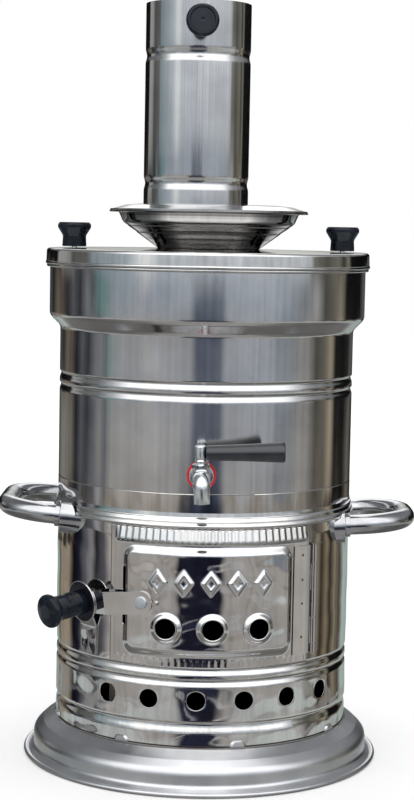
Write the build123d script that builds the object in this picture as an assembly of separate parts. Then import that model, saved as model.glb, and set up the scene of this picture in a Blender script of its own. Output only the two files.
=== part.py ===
from build123d import *
import math
import os

# Samovar: a fire chamber on a flared foot, a water tank with a smoke tube through it, and a
# lid, teapot stand and chimney on top. Millimetres and degrees. +Z is up, -Y is the front with
# the tap and the fire door, and the origin is the centre of the foot's underside. An azimuth
# is measured about +Z from the front, positive towards +X.

# ---------------------------------------------------------------- general sizes
sheet = 0.8             # thickness of every sheet piece
body_r = 120.0          # outer radius of the fire chamber and of the tank
seat_gap = 0.05         # between pieces fitted into or around each other
run_gap = 0.05          # radial clearance of a pin or shaft that turns in its bore
move_gap = 0.4          # between pieces that move past each other
lap = 0.2               # how far parts of one piece run into each other
cut_over = 5.0          # cuts start and end this far past the sheet that they open

# ---------------------------------------------------------------- foot
foot_height = 33.8      # floor to the top of the base plate
foot_shoulder = 18.0    # the foot's wall stands this far outside the body
foot_flare = 8.2        # the hem stands this far outside the foot's wall
hem_wire_r = 2.1        # radius of the rolled hem
hem_flat = 0.1          # the hem is flattened this much where it meets the floor
foot_wall_rise = 9.6    # lower end of the foot's wall above the floor
foot_wall_drop = 15.1   # upper end of the wall below the foot's top
foot_crease_in = 7.0    # the crease at the shoulder's inner edge, inside the wall
foot_crease_drop = 10.1
foot_cove_drop = 2.3    # the cove between crease and neck, below the foot's top
foot_bends = (3.0, 8.0, 1.0, 2.5)
neck_lap = 2.6          # the neck laps this far up the chamber's shell
plate_thickness = 1.0
lug_count = 8
lug_phase = 14.5
lug_width = 6.4         # degrees
lug_height = 5.0
lug_drop = 3.5          # the lugs start this far below the neck's top
lug_proud = 1.6
tray_r = 100.0
tray_height = 8.0
tray_bend_r = 3.0

# ---------------------------------------------------------------- fire chamber
chamber_height = 175.6  # length of the chamber's shell
bead_depth = 1.2        # the inward beads of the chamber and the tank
bead_half = 2.6
low_bead_rise = 15.5    # above the shell's lower edge
vent_rise = 35.6
grate_bead_rise = 58.5
bead_pitch = 9.1        # between the two beads of a pair
bead_bends = (2.0, 1.5, 2.0)
vent_r = 7.25
vent_count = 6          # air holes across the front
vent_start = -37.5
vent_step = 18.0
grate_thickness = 2.0
grate_slot = 6.0
grate_pitch = 12.0
grate_bar = 6.0         # width of the bar across the slots

# ---------------------------------------------------------------- waist and tank
waist_height = 11.5
waist_proud = 3.5
waist_drop = 4.9        # the waist ring starts this far below the chamber's top
waist_edge = 1.0        # chamfer of the ring's lower edge
waist_groove = 0.7      # depth of the groove round the ring
waist_slope = 0.5       # the upper slope starts this far below the ring's last third
seam_gap = 0.8          # between the chamber's shell and the tank's
tank_wall_height = 142.3
tank_bead_rise = 103.2
shoulder_rise = 9.0
shoulder_reach = 8.8
mouth_height = 41.2     # top of the shoulder to the rim
shoulder_bend_r = 8.0
rim_proud = 2.6
rim_height = 2.4
rim_edge_r = 0.96       # rounding of the rim's bead
neck_inset = 1.4        # the neck inside the lid is this much smaller than the mouth's wall
neck_rise = 9.3
neck_bend_r = 0.5
floor_rise = 12.0       # the tank's floor above the tank's lower edge
floor_dome = 4.0
floor_bends = (8.0, 2.0)
floor_skirt = 4.2       # how far the floor's skirt laps into the chamber
flue_r = 34.0           # outer radius of the smoke tube
flue_above_lid = 8.4
flue_collar = 6.0

# ---------------------------------------------------------------- lid, stand and chimney
lip_proud = 1.0         # the lid's lip stands this far outside the tank's rim
lid_height = 13.9
lid_edge_r = 2.3
lid_inset = 0.5         # the lid's wall stands this far inside its lip
lid_taper = 0.9
lid_hole_gap = 2.0      # round the smoke tube
lip_height = 2.7
lip_edges = (0.4, 1.2)  # rounding of the lip's lower and upper edge
lid_knob_inset = 22.8   # each knob's axis inside the lip's edge
lid_knob_r = 9.9
lid_knob_top_r = 13.5
lid_knob_height = 19.6
knob_waist = 0.45       # a flared knob widens between these shares of its length
knob_brim = 0.75
flared_knob_bends = (3.0, 2.0, 2.5)
dish_height = 30.6
dish_seat_r = 41.5
dish_bowl_r = 73.6
dish_rim_r = 81.1
dish_roll_r = 0.9
dish_hole_gap = 5.5     # round the smoke tube, so that the stand lifts off freely
dish_belly_in = 3.6     # the corner between the bowl's bottom and side, inside the bowl's edge
dish_belly_rise = 20.6
dish_bends = (2.0, 8.0, 1.0)
deck_rise = 5.1
deck_flat_r = 56.0
deck_hole_r = 30.5
deck_lip = 1.5          # width of the deck's level edge
deck_hip_drop = 1.1     # drop of the corner halfway between the flat and the edge
deck_bends = (1.0, 12.0, 12.0)
chimney_r = 42.7
chimney_height = 160.6
chimney_offset = -11.0  # the chimney stands this far to one side of the centre
chimney_bead_half = 6.0
chimney_bead_depth = 1.0
chimney_bead_low = 16.7
chimney_bead_drop = 41.9 # below the pipe's top
chimney_knob_drop = 20.2
chimney_knob_az = 3.2
chimney_knob_tilt = 6.0
chimney_knob_r = 13.0
chimney_knob_length = 22.0
chimney_knob_foot_r = 9.1

# ---------------------------------------------------------------- handles
handle_tube_r = 8.0
handle_wall = 1.2
handle_bend_r = 38.0
left_reach = 48.0       # outermost point of the loop beyond the body
left_half_span = 57.0   # from the middle to each leg's centre
left_drop = 5.4         # the loop's centre below the chamber's top, where it leaves the body
left_tilt = 5.0         # the loop's outer end rises by this angle
right_reach = 54.0
right_half_span = 45.0
right_drop = 11.7
right_tilt = 3.2
socket_collar_r = 9.6
socket_flange_r = 14.0
socket_flange_in = 6.5  # the flange ends this far inside the body's outermost x
socket_collar_in = 2.0  # and so does the collar
socket_taper = 1.2      # length of the slope between the two

# ---------------------------------------------------------------- fire door
door_rise = 61.8        # the panel's lower edge above the shell's lower edge
door_top_gap = 1.1      # under the waist ring
door_az = (-36.0, 43.5)
door_corner = 3.0
opening_az = (-31.5, 38.5)
opening_low = 9.4       # the opening's edges inside the panel's
opening_high = 8.4
opening_corner = 6.0
pillow_az = (-30.0, 35.0)
pillow_low = 8.4
pillow_high = 14.4
pillow_raise = 3.0
pillow_corner = 10.0
pillow_bevel = 2.4
peep_az = (-12.7, 4.0, 20.8)
peep_rise = 30.9
peep_r = 7.25
peep_collar_r = 11.5
peep_collar_proud = 2.4
peep_flare = 1.5        # each collar widens by this much outward
slot_az = -29.6
slot_width = 3.0
slot_low = 30.4
slot_high = 31.4

# ---------------------------------------------------------------- door hinge
hinge_az = 45.5
hinge_proud = 3.0       # the pin's centre outside the body
pin_r = 1.25
knuckle_r = 2.4
knuckle_shares = (7.6, 20.6, 21.0, 20.2, 15.0)
hinge_low = 6.4         # the lowest knuckle above the panel's lower edge
hinge_high = 15.4       # the highest knuckle below the panel's upper edge
leaf_thickness = 0.8
door_leaf_az = 36.0
body_leaf_az = 54.0
pin_overhang = 1.2
pin_head_r = 2.1

# ---------------------------------------------------------------- latch
latch_rise = 49.5       # the rivet above the panel's lower edge
rivet_az = -21.9
rivet_r = 2.5
rivet_head_r = 5.0
rivet_head_height = 1.6
rivet_inner_r = 4.5
rivet_inner_height = 2.0
stop_reach = 11.5       # round the pillow from the rivet to the stop
stop_r = 2.0
stop_shank_r = 1.5
stop_height = 3.2
tail_through = 1.0      # the stop's shank reaches this far inside the door's sheet
arm_thickness = 1.5
arm_half = 8.8
arm_eye_r = 9.0
arm_run = 31.0          # rivet to bend
arm_follow = 56.55      # round the body from the rivet to where the bent tail lies along it
arm_tail = 40.0         # bend to free end
arm_droop = 6.0
arm_twist = 4.3
knob_run = 27.0         # bend to the knob's axis
washer_r = 16.5
washer_thickness = 1.2
latch_knob_r = 10.5
latch_knob_end_r = 13.25
latch_knob_length = 35.5
knob_ring_pitch = 5.0
knob_ring_depth = 0.7
knob_ring_width = 1.0
knob_neck = 3.0         # length over which the latch knob widens to its end
knob_end = 7.0          # length of its wide end
knob_edges = (1.0, 2.0) # rounding of the wide end's inner and outer edge
screw_r = 2.0
screw_head_r = 3.5
screw_head_height = 2.0
screw_depth = 12.0      # how far a knob's screw reaches into it
screw_tip_gap = 1.0
catch_far = 63.0        # round the body from the rivet to the catch's far side
catch_near = 44.6
catch_thickness = 1.2
catch_foot = 2.6        # from the bead below up to the plate
catch_lip = 9.0         # height of the plate's flared top

# ---------------------------------------------------------------- tap
tap_x = -2.0
tap_rise = 35.2         # above the tank's lower edge
tap_lean = 3.0
gasket_r = 11.3
gasket_thickness = 2.2
inner_gasket_thickness = 2.0
flange_r = 9.4
flange_thickness = 1.4
shank_r = 5.0
shank_inside = 14.0
barrel_r = 6.5
plug_reach = 16.0       # wall to the key's axis
spout_reach = 28.0      # wall to the spout's axis
spout_r = 6.2
spout_bore_r = 4.0
spout_drop = 17.9
elbow_r = 8.0
waterway_r = 3.0
key_barrel_r = 6.4
key_barrel_low = 6.5
key_barrel_high = 7.0
key_barrel_floor = 1.5
barrel_lap = 4.0        # the barrel runs this far past the key's axis
plug_r = 4.2
stem_r = 2.8
gland_across = 11.8
gland_height = 4.0
cap_r = 4.25
cap_top = 25.0
cap_wall = 2.0          # over the stem's end
lever_height = 19.1
lever_droop = 1.4
lever_start = 4.5
lever_end = 64.0
lever_r = 5.7
lever_end_r = 7.8
tang_r = 1.8
tang_end = 46.0
lever_edges = (1.0, 4.0)
back_nut_across = 16.0
back_nut_thickness = 3.0

# ---------------------------------------------------------------- derived places
neck_in_r = body_r + move_gap
neck_r = neck_in_r + sheet
foot_wall_r = body_r + foot_shoulder
foot_r = foot_wall_r + foot_flare
seat_z = foot_height
neck_top_z = seat_z + neck_lap
grate_bead_z = seat_z + grate_bead_rise
chamber_top_z = seat_z + chamber_height
inner_r = body_r - sheet
waist_z = chamber_top_z - waist_drop
waist_r = body_r + waist_proud
tank_z = chamber_top_z + seam_gap
floor_z = tank_z + floor_rise
shoulder_z = tank_z + tank_wall_height
mouth_z = shoulder_z + shoulder_rise
mouth_r = body_r + shoulder_reach
rim_z = mouth_z + mouth_height
rim_r = mouth_r + rim_proud
lip_r = rim_r + lip_proud
lid_knob_reach = lip_r - lid_knob_inset
tank_neck_r = mouth_r - neck_inset
lid_z = rim_z + lid_height
dish_z = lid_z
dish_top_z = dish_z + dish_height
deck_z = dish_top_z + deck_rise
chimney_top_z = deck_z + chimney_height
door_z = seat_z + door_rise
door_top_z = waist_z - door_top_gap
door_in_r = body_r + move_gap
door_out_r = door_in_r + sheet
pillow_r = door_out_r + pillow_raise
hinge_r = body_r + hinge_proud
hinge_low_z = door_z + hinge_low
hinge_high_z = door_top_z - hinge_high
latch_z = door_z + latch_rise
arm_plane = pillow_r + move_gap
arm_bend = math.degrees(arm_follow / body_r)
stop_az = rivet_az + math.degrees(stop_reach / pillow_r)
catch_az = (rivet_az - math.degrees(catch_far / body_r), rivet_az - math.degrees(catch_near / body_r))
tap_z = tank_z + tap_rise
tap_wall_y = math.sqrt(body_r**2 - tap_x**2)


# ---------------------------------------------------------------- shared shapes
def polar(radius, azimuth, z=0.0):
    """Point at a radius and azimuth about the body's axis."""
    angle = math.radians(azimuth)
    return (radius * math.sin(angle), -radius * math.cos(angle), z)


def outward(azimuth, z):
    """Plane through the body's axis with its local z pointing outward and local y up."""
    angle = math.radians(azimuth)
    return Plane(
        origin=(0, 0, z),
        x_dir=(math.cos(angle), math.sin(angle), 0),
        z_dir=polar(1.0, azimuth),
    )


def heading(start, end):
    """Unit direction from one (r, z) point to the next."""
    length = math.dist(start, end)
    return ((end[0] - start[0]) / length, (end[1] - start[1]) / length)


def mitred(points, wall):
    """Move an open (r, z) outline to its left by the wall, with mitred corners."""
    moved = []
    last = len(points) - 1
    for i, (r, z) in enumerate(points):
        into = heading(points[i - 1], points[i]) if i > 0 else heading(points[0], points[1])
        out = heading(points[i], points[i + 1]) if i < last else into
        stretch = wall / (1 + into[0] * out[0] + into[1] * out[1])
        moved.append((r - (into[1] + out[1]) * stretch, z + (into[0] + out[0]) * stretch))
    return moved


def inner_bend(points, i, bend, wall):
    """Radius of the wall's far side at a corner: less where the outline turns left."""
    into = heading(points[i - 1], points[i])
    out = heading(points[i], points[i + 1])
    left_turn = into[0] * out[1] - into[1] * out[0] > 0
    return max(bend - wall, 0) if left_turn else bend + wall


def outline_face(points, rounding=0.0):
    """Face of a closed (r, z) outline with rounded corners."""
    return make_face(FilletPolyline(*points, radius=rounding, close=True))


def about_z(face):
    """Solid of revolution about Z from an (r, z) face."""
    return revolve(Plane.XZ * face, Axis.Z, 360)


def turned(points, rounding=0.0):
    """Solid of revolution about Z from a closed (r, z) outline."""
    return about_z(outline_face(points, rounding))


def sheet_face(points, bends, wall=sheet):
    """Section of a sheet piece. The points are one side, with the wall on their left, and
    bends holds the radius of each corner between the ends."""
    far_side = mitred(points, wall)
    far_bends = [inner_bend(points, i + 1, bend, wall) for i, bend in enumerate(bends)]
    rounding = [0.0, *bends, 0.0, 0.0, *reversed(far_bends), 0.0]
    return outline_face([*points, *reversed(far_side)], rounding)


def spun(points, bends, wall=sheet):
    """Sheet piece turned about Z, from the points and bends of its section."""
    return about_z(sheet_face(points, bends, wall))


def bead(radius, z, depth=bead_depth, half=bead_half):
    """Corner points of an inward bead on a wall that runs upward."""
    return [(radius, z - half), (radius - depth, z), (radius, z + half)]


def sector(r_in, r_out, azimuths, z_low, z_high, corner=0.0):
    """Block between two radii, azimuths and heights, with rounded corners if asked."""
    section = Pos(-(r_in + r_out) / 2, (z_low + z_high) / 2) * Rectangle(r_out - r_in, z_high - z_low)
    block = revolve(Plane.YZ * section, Axis.Z, azimuths[1] - azimuths[0])
    block = Rot(0, 0, azimuths[0]) * block
    if corner:
        sides = [e for e in block.edges() if abs(e.length - (r_out - r_in)) < 1e-3]
        block = fillet([e for e in sides if abs((e % 0.5).Z) < 1e-6], corner)
    return block


def on_radius(edge, radius):
    """Whether an edge's ends and middle lie at a radius from the body's axis."""
    return all(abs(math.hypot((edge @ t).X, (edge @ t).Y) - radius) < 1e-3 for t in (0, 0.5, 1))


def rod(radius, start, end):
    """Cylinder along local z."""
    return Pos(0, 0, (start + end) / 2) * Cylinder(radius, end - start)


def ring(r_in, r_out, start, end):
    """Flat ring along local z."""
    return rod(r_out, start, end) - rod(r_in, start - 1, end + 1)


def hexagon(across, start, end):
    """Hexagonal bar along local z."""
    flat = RegularPolygon(across / 2, 6, major_radius=False)
    return Pos(0, 0, start) * extrude(flat, end - start)


def screw(head_start, shank_end):
    """Pan-head screw along local z, its head ending at head_start plus the head's height."""
    return rod(screw_head_r, head_start, head_start + screw_head_height) + rod(
        screw_r, head_start, shank_end
    )


def body_envelope():
    """Everything inside the body's outer surface, for pieces shaped to sit on it."""
    return rod(body_r + seat_gap, 0, rim_z) + rod(
        waist_r + 2 * seat_gap, waist_z - 2 * seat_gap, waist_z + waist_height + 2 * seat_gap
    )


# ---------------------------------------------------------------- foot
def base_foot():
    """Flared foot: rolled hem, wall, shoulder, crease, cove and neck, with crimped lugs."""
    hem_centre = (foot_r - hem_wire_r, hem_wire_r - hem_flat)
    outline = [
        hem_centre,
        (foot_wall_r, foot_wall_rise),
        (foot_wall_r, foot_height - foot_wall_drop),
        (foot_wall_r - foot_crease_in, foot_height - foot_crease_drop),
        (neck_r, foot_height - foot_cove_drop),
        (neck_r, neck_top_z),
    ]
    section = sheet_face(outline, foot_bends) + Pos(*hem_centre) * Circle(hem_wire_r)
    section -= Pos(hem_centre[0], -hem_wire_r) * Rectangle(4 * hem_wire_r, 2 * hem_wire_r)
    foot = about_z(section)
    for i in range(lug_count):
        azimuth = lug_phase + i * 360 / lug_count
        span = (azimuth - lug_width / 2, azimuth + lug_width / 2)
        low = neck_top_z - lug_drop
        foot += sector(neck_in_r + lap, neck_r + lug_proud, span, low, low + lug_height)
    return foot


def base_plate():
    """Round plate in the foot's neck; the chamber's shell stands on it."""
    return rod(neck_in_r - seat_gap, seat_z - plate_thickness, seat_z)


def ash_tray():
    """Shallow tray that lies on the base plate under the grate."""
    outline = [(0.0, seat_z), (tray_r, seat_z), (tray_r, seat_z + tray_height)]
    return spun(outline, [tray_bend_r])


# ---------------------------------------------------------------- fire chamber
def fire_chamber_shell():
    """Rolled shell with its beads, air holes and door opening."""
    outline = [(body_r, seat_z)]
    for z in (seat_z + low_bead_rise, grate_bead_z - bead_pitch, grate_bead_z):
        outline += bead(body_r, z)
    outline.append((body_r, chamber_top_z))
    shell = spun(outline, 3 * bead_bends)
    hole = rod(vent_r, inner_r - cut_over, body_r + cut_over)
    for i in range(vent_count):
        shell -= outward(vent_start + i * vent_step, seat_z + vent_rise) * hole
    shell -= sector(
        inner_r - cut_over,
        body_r + cut_over,
        opening_az,
        door_z + opening_low,
        door_top_z - opening_high,
        opening_corner,
    )
    return shell


def fire_grate():
    """Slotted plate that rests on the upper grate bead."""
    low = grate_bead_z + bead_half + seat_gap
    grate_r = inner_r - 2 * seat_gap
    grate = rod(grate_r, low, low + grate_thickness)
    margin = grate_pitch
    row = -(grate_r // grate_pitch) + 1
    while row * grate_pitch < grate_r - margin:
        x = row * grate_pitch
        half = math.sqrt((grate_r - margin) ** 2 - x**2)
        slot = Box(grate_slot, 2 * half, 3 * grate_thickness)
        bar = Box(2 * grate_pitch, grate_bar, 4 * grate_thickness)
        grate -= Pos(x, 0, low) * (slot - bar)
        row += 1
    return grate


# ---------------------------------------------------------------- waist and tank
def waist_ring():
    """Beaded ring over the seam between the chamber and the tank."""
    inside = body_r + seat_gap
    third = waist_height / 3
    outline = [
        (inside, waist_z),
        (waist_r - waist_edge, waist_z),
        (waist_r, waist_z + waist_edge),
        (waist_r, waist_z + third - waist_groove),
        (waist_r - waist_groove, waist_z + third),
        (waist_r, waist_z + third + waist_groove),
        (waist_r, waist_z + 2 * third - waist_slope),
        (inside + waist_edge, waist_z + waist_height),
        (inside, waist_z + waist_height),
    ]
    return turned(outline)


def tank_shell():
    """Tank wall: beads, shoulder, wider mouth with a bead for the lid, and an inner neck."""
    high_bead_z = tank_z + tank_bead_rise
    outline = [(body_r, tank_z), *bead(body_r, high_bead_z - bead_pitch), *bead(body_r, high_bead_z)]
    outline += [
        (body_r, shoulder_z),
        (mouth_r, mouth_z),
        (mouth_r, rim_z - rim_height),
        (tank_neck_r, rim_z - rim_height / 2),
        (tank_neck_r, rim_z + neck_rise),
    ]
    bends = [*bead_bends, *bead_bends, *2 * [shoulder_bend_r], *2 * [neck_bend_r]]
    shell = spun(outline, bends)
    shell += turned(
        [
            (tank_neck_r - sheet / 2, rim_z - rim_height),
            (rim_r, rim_z - rim_height),
            (rim_r, rim_z),
            (tank_neck_r - sheet / 2, rim_z),
        ],
        [0.0, rim_edge_r, rim_edge_r, 0.0],
    )
    return shell - along_shank(rod(shank_r + 3 * seat_gap, -2 * cut_over, 2 * cut_over))


def tank_floor():
    """Domed floor: its skirt laps both shells and its collar holds the smoke tube."""
    skirt_r = inner_r - seat_gap
    collar_r = flue_r + seat_gap
    outline = [
        (skirt_r, chamber_top_z - floor_skirt),
        (skirt_r, floor_z),
        (collar_r + sheet, floor_z + floor_dome),
        (collar_r + sheet, floor_z + floor_dome + flue_collar),
    ]
    return spun(outline, floor_bends)


def flue_tube():
    """Smoke tube from the chamber through the tank and the lid."""
    return ring(flue_r - sheet, flue_r, floor_z - floor_dome, lid_z + flue_above_lid)


# ---------------------------------------------------------------- handles
def handle_place(side, drop, tilt):
    """Turns and lifts what is made along +x at z = 0 to where a loop stands on the body."""
    hinge = Pos(body_r, 0, chamber_top_z - drop) * Rot(0, -tilt, 0) * Pos(-body_r, 0, 0)
    return hinge if side > 0 else Rot(0, 0, 180) * hinge


def handle(side, reach, half_span, drop, tilt):
    """Round tube loop, its ends shaped to the body. side is -1 for left, 1 for right."""
    far_x = body_r + reach - handle_tube_r
    start_x = body_r - 4 * handle_tube_r
    path = FilletPolyline(
        (start_x, -half_span), (far_x, -half_span), (far_x, half_span), (start_x, half_span),
        radius=handle_bend_r,
    )
    section = Plane(origin=(start_x, -half_span, 0), x_dir=(0, 1, 0), z_dir=(1, 0, 0))
    tube = sweep(section * Circle(handle_tube_r), path)
    tube -= sweep(section * Circle(handle_tube_r - handle_wall), path)
    return handle_place(side, drop, tilt) * tube - body_envelope()


def handle_socket(side, half_span, drop, tilt, end):
    """Flared socket round one leg of a handle, shaped to the body."""
    back = body_r / 2
    flange_x = body_r - socket_flange_in
    collar_x = body_r - socket_collar_in
    outline = [
        (handle_tube_r + seat_gap, back),
        (socket_flange_r, back),
        (socket_flange_r, flange_x),
        (socket_collar_r, flange_x + socket_taper),
        (socket_collar_r, collar_x),
        (handle_tube_r + seat_gap, collar_x),
    ]
    socket = Pos(0, side * end * half_span, 0) * Rot(0, 90, 0) * turned(outline)
    return handle_place(side, drop, tilt) * socket - body_envelope()


# ---------------------------------------------------------------- fire door
def fire_door():
    """Curved panel with a raised hollow pillow, flared holes and a slot."""
    low, high = door_z + pillow_low, door_top_z - pillow_high
    panel = sector(door_in_r, door_out_r, door_az, door_z, door_top_z, door_corner)
    pillow = sector(door_in_r, pillow_r, pillow_az, low, high, pillow_corner)
    front_edges = [e for e in pillow.edges() if on_radius(e, pillow_r)]
    pillow = fillet(front_edges, pillow_bevel)
    wall_turn = math.degrees(sheet / body_r)
    inner_az = (pillow_az[0] + wall_turn, pillow_az[1] - wall_turn)
    hollow = sector(
        door_in_r - cut_over, pillow_r - sheet, inner_az, low + sheet, high - sheet, pillow_corner - sheet
    )
    inner_edges = [e for e in hollow.edges() if on_radius(e, pillow_r - sheet)]
    hollow = fillet(inner_edges, pillow_bevel - sheet)
    door = panel + pillow
    for azimuth in peep_az:
        collar = Pos(0, 0, pillow_r - sheet / 2) * Cone(
            peep_collar_r - peep_flare, peep_collar_r, peep_collar_proud + sheet / 2,
            align=(Align.CENTER, Align.CENTER, Align.MIN),
        )
        door += outward(azimuth, door_z + peep_rise) * collar
    door -= hollow
    cut_low = body_r - cut_over
    cut_high = pillow_r + cut_over
    for azimuth in peep_az:
        door -= outward(azimuth, door_z + peep_rise) * rod(peep_r, cut_low, cut_high)
    slot_half = math.degrees(slot_width / 2 / pillow_r)
    slot_span = (slot_az - slot_half, slot_az + slot_half)
    door -= sector(cut_low, cut_high, slot_span, door_z + slot_low, door_top_z - slot_high)
    door -= rivet_place() * rod(rivet_r + seat_gap, cut_low, cut_high)
    door -= outward(stop_az, latch_z) * rod(stop_shank_r + seat_gap, cut_low, cut_high)
    return door


def knuckle_spans():
    """Low and high z of each hinge knuckle, from the lowest up."""
    length = hinge_high_z - hinge_low_z - move_gap * (len(knuckle_shares) - 1)
    spans = []
    low = hinge_low_z
    for share in knuckle_shares:
        high = low + length * share / sum(knuckle_shares)
        spans.append((low, high))
        low = high + move_gap
    return spans


def hinge_leaf(first, azimuth, r_in):
    """Half a hinge: a curved strip with every second knuckle, cut back at the others."""
    spans = knuckle_spans()
    away = 1 if azimuth > hinge_az else -1
    clear = math.degrees((knuckle_r + move_gap) / hinge_r)
    strip_az = sorted((hinge_az, azimuth))
    leaf = sector(r_in, r_in + leaf_thickness, strip_az, hinge_low_z, hinge_high_z)
    for i, (low, high) in enumerate(spans):
        if i % 2 == first:
            leaf += Pos(*polar(hinge_r, hinge_az)) * rod(knuckle_r, low, high)
        else:
            gap_az = sorted((hinge_az - away, hinge_az + away * clear))
            leaf -= sector(
                r_in - cut_over, r_in + 2 * cut_over, gap_az, low - move_gap, high + move_gap
            )
    leaf -= Pos(*polar(hinge_r, hinge_az)) * rod(pin_r + run_gap, 0, chamber_top_z)
    return leaf


def body_hinge_leaf():
    """Fixed leaf, spot-welded to the chamber's shell."""
    return hinge_leaf(0, body_leaf_az, body_r + seat_gap)


def door_hinge_leaf():
    """Moving leaf, spot-welded to the door's panel."""
    return hinge_leaf(1, door_leaf_az, door_out_r + seat_gap)


def door_hinge_pin():
    """Straight pin with a head at the top."""
    pin = rod(pin_r, hinge_low_z - pin_overhang, hinge_high_z + pin_overhang)
    pin += rod(pin_head_r, hinge_high_z + seat_gap, hinge_high_z + pin_overhang)
    return Pos(*polar(hinge_r, hinge_az)) * pin


# ---------------------------------------------------------------- latch
def rivet_place():
    """Local z is the rivet's axis, measured from the body's axis, and local y is up."""
    return outward(rivet_az, latch_z).location


def tail_place():
    """Frame of the arm's bent tail: origin at the bend, local -x along the tail, z outward."""
    bend = Pos(-arm_run, 0, arm_plane) * Rot(0, -arm_bend, 0) * Rot(arm_twist, 0, 0)
    return rivet_place() * Rot(0, 0, arm_droop) * bend


def knob_place():
    """Frame on the outer face of the arm's tail, on the knob's axis."""
    return tail_place() * Pos(-knob_run, 0, arm_thickness)


def latch_rivet():
    """Rivet with a collar under the arm, a shank and a head over it."""
    arm_face = arm_plane + arm_thickness
    inner_face = pillow_r - sheet
    rivet = rod(rivet_r, inner_face - rivet_inner_height, arm_face + rivet_head_height)
    rivet += rod(rivet_inner_r, inner_face - rivet_inner_height, inner_face - 3 * seat_gap)
    rivet += rod(rivet_inner_r, pillow_r, arm_plane - seat_gap)
    rivet += rod(rivet_head_r, arm_face + seat_gap, arm_face + rivet_head_height)
    return rivet_place() * rivet


def latch_stop():
    """Small stud beside the rivet that keeps the arm's eye in line."""
    stud = rod(stop_r, pillow_r + seat_gap, pillow_r + stop_height)
    stud += rod(stop_shank_r, pillow_r - sheet - tail_through, pillow_r + stop_height)
    return outward(stop_az, latch_z) * stud


def latch_arm():
    """Flat arm with an eye round the rivet and a tail bent to follow the body."""
    lap = arm_thickness * math.tan(math.radians(arm_bend / 2))
    run = Pos(-(arm_run + lap) / 2, 0) * Rectangle(arm_run + lap, 2 * arm_half)
    flat = extrude(run + Circle(arm_eye_r), arm_thickness)
    flat = Pos(0, 0, arm_plane) * flat
    arm = rivet_place() * Rot(0, 0, arm_droop) * flat
    tail = Pos(-(arm_tail - lap) / 2, 0, arm_thickness / 2) * Box(
        arm_tail + lap, 2 * arm_half, arm_thickness
    )
    arm += tail_place() * tail
    arm -= rivet_place() * rod(rivet_r + run_gap, arm_plane - cut_over, arm_plane + cut_over)
    arm -= tail_place() * Pos(-knob_run, 0) * rod(screw_r + seat_gap, -cut_over, cut_over)
    return arm


def latch_washer():
    """Round plate between the arm and the knob."""
    return knob_place() * ring(screw_r + seat_gap, washer_r, seat_gap, washer_thickness)


def latch_knob():
    """Ringed knob with a wider end."""
    start = washer_thickness + seat_gap
    end = start + latch_knob_length
    neck_z = end - knob_end - knob_neck
    knob = rod(latch_knob_r, start, neck_z + 5 * lap)
    ring_z = start + knob_ring_pitch
    while ring_z < neck_z:
        knob -= ring(
            latch_knob_r - knob_ring_depth, latch_knob_r + lap, ring_z, ring_z + knob_ring_width
        )
        ring_z += knob_ring_pitch
    knob += turned(
        [
            (0.0, neck_z),
            (latch_knob_r, neck_z),
            (latch_knob_end_r, end - knob_end),
            (latch_knob_end_r, end),
            (0.0, end),
        ],
        [0.0, 0.0, *knob_edges, 0.0],
    )
    knob -= rod(screw_r + seat_gap, start - cut_over, start + screw_depth + screw_tip_gap)
    return knob_place() * knob


def latch_screw():
    """Screw through the arm and the washer into the knob."""
    head_start = -arm_thickness - screw_head_height - seat_gap
    end = washer_thickness + seat_gap + screw_depth
    return knob_place() * screw(head_start, end)


def latch_catch():
    """Plate on the shell, left of the door, whose top flares out under the arm's tail."""
    bend = math.radians(arm_bend)
    drop = (arm_run + arm_tail * math.cos(bend)) * math.sin(math.radians(arm_droop))
    top_z = latch_z - drop - arm_half * math.cos(math.radians(arm_droop)) - move_gap
    low_z = grate_bead_z + bead_half + catch_foot
    plate_r = body_r + seat_gap
    top_r = arm_run * math.sin(bend) + arm_plane * math.cos(bend) - catch_thickness
    side = [(plate_r, low_z), (plate_r, top_z - catch_lip), (top_r, top_z)]
    outline = side + [(r + catch_thickness, z) for r, z in reversed(side)]
    return turned(outline) & sector(body_r, top_r + 2 * catch_thickness, catch_az, low_z, top_z)


# ---------------------------------------------------------------- tap
def tap_place():
    """Tap frame on the tank's wall: local -y outward, local z up the leaning key."""
    return Pos(tap_x, -tap_wall_y, tap_z) * Rot(0, -tap_lean, 0)


def along_shank(piece):
    """Place a piece made along z on the shank's axis, its z the distance out of the wall."""
    return tap_place() * Rot(90, 0, 0) * piece


def along_key(piece):
    """Place a piece made along z on the key's axis, its z the height above the shank."""
    return tap_place() * Pos(0, -plug_reach, 0) * piece


def tap_gasket_outer():
    """Soft ring between the tank's wall and the flange."""
    gasket = along_shank(ring(shank_r + 4 * seat_gap, gasket_r, -cut_over, gasket_thickness))
    return gasket - rod(body_r + seat_gap, tank_z, rim_z)


def tap_flange():
    """Metal ring over the outer gasket."""
    start = gasket_thickness
    return along_shank(ring(shank_r + seat_gap, flange_r, start, start + flange_thickness))


def spout_path():
    """Centre line of the elbow, from the key to the spout's mouth."""
    return FilletPolyline(
        (0, -plug_reach, 0), (0, -spout_reach, 0), (0, -spout_reach, -spout_drop), radius=elbow_r
    )


def tap_body():
    """Shank, barrel, key barrel and down-turned spout, with the waterway through them."""
    start = gasket_thickness + flange_thickness
    shank = rod(shank_r, -shank_inside, start + lap) + rod(barrel_r, start, plug_reach + barrel_lap)
    key_barrel = rod(key_barrel_r, -key_barrel_low, key_barrel_high)
    section = Plane(origin=(0, -plug_reach, 0), z_dir=(0, -1, 0))
    elbow = sweep(section * Circle(spout_r), spout_path())
    body = along_shank(shank) + along_key(key_barrel) + tap_place() * elbow
    body -= along_shank(rod(waterway_r, -shank_inside - cut_over, plug_reach))
    body -= tap_place() * sweep(section * Circle(spout_bore_r), spout_path())
    body -= along_key(rod(plug_r, key_barrel_floor - key_barrel_low, key_barrel_high + cut_over))
    return body


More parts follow.
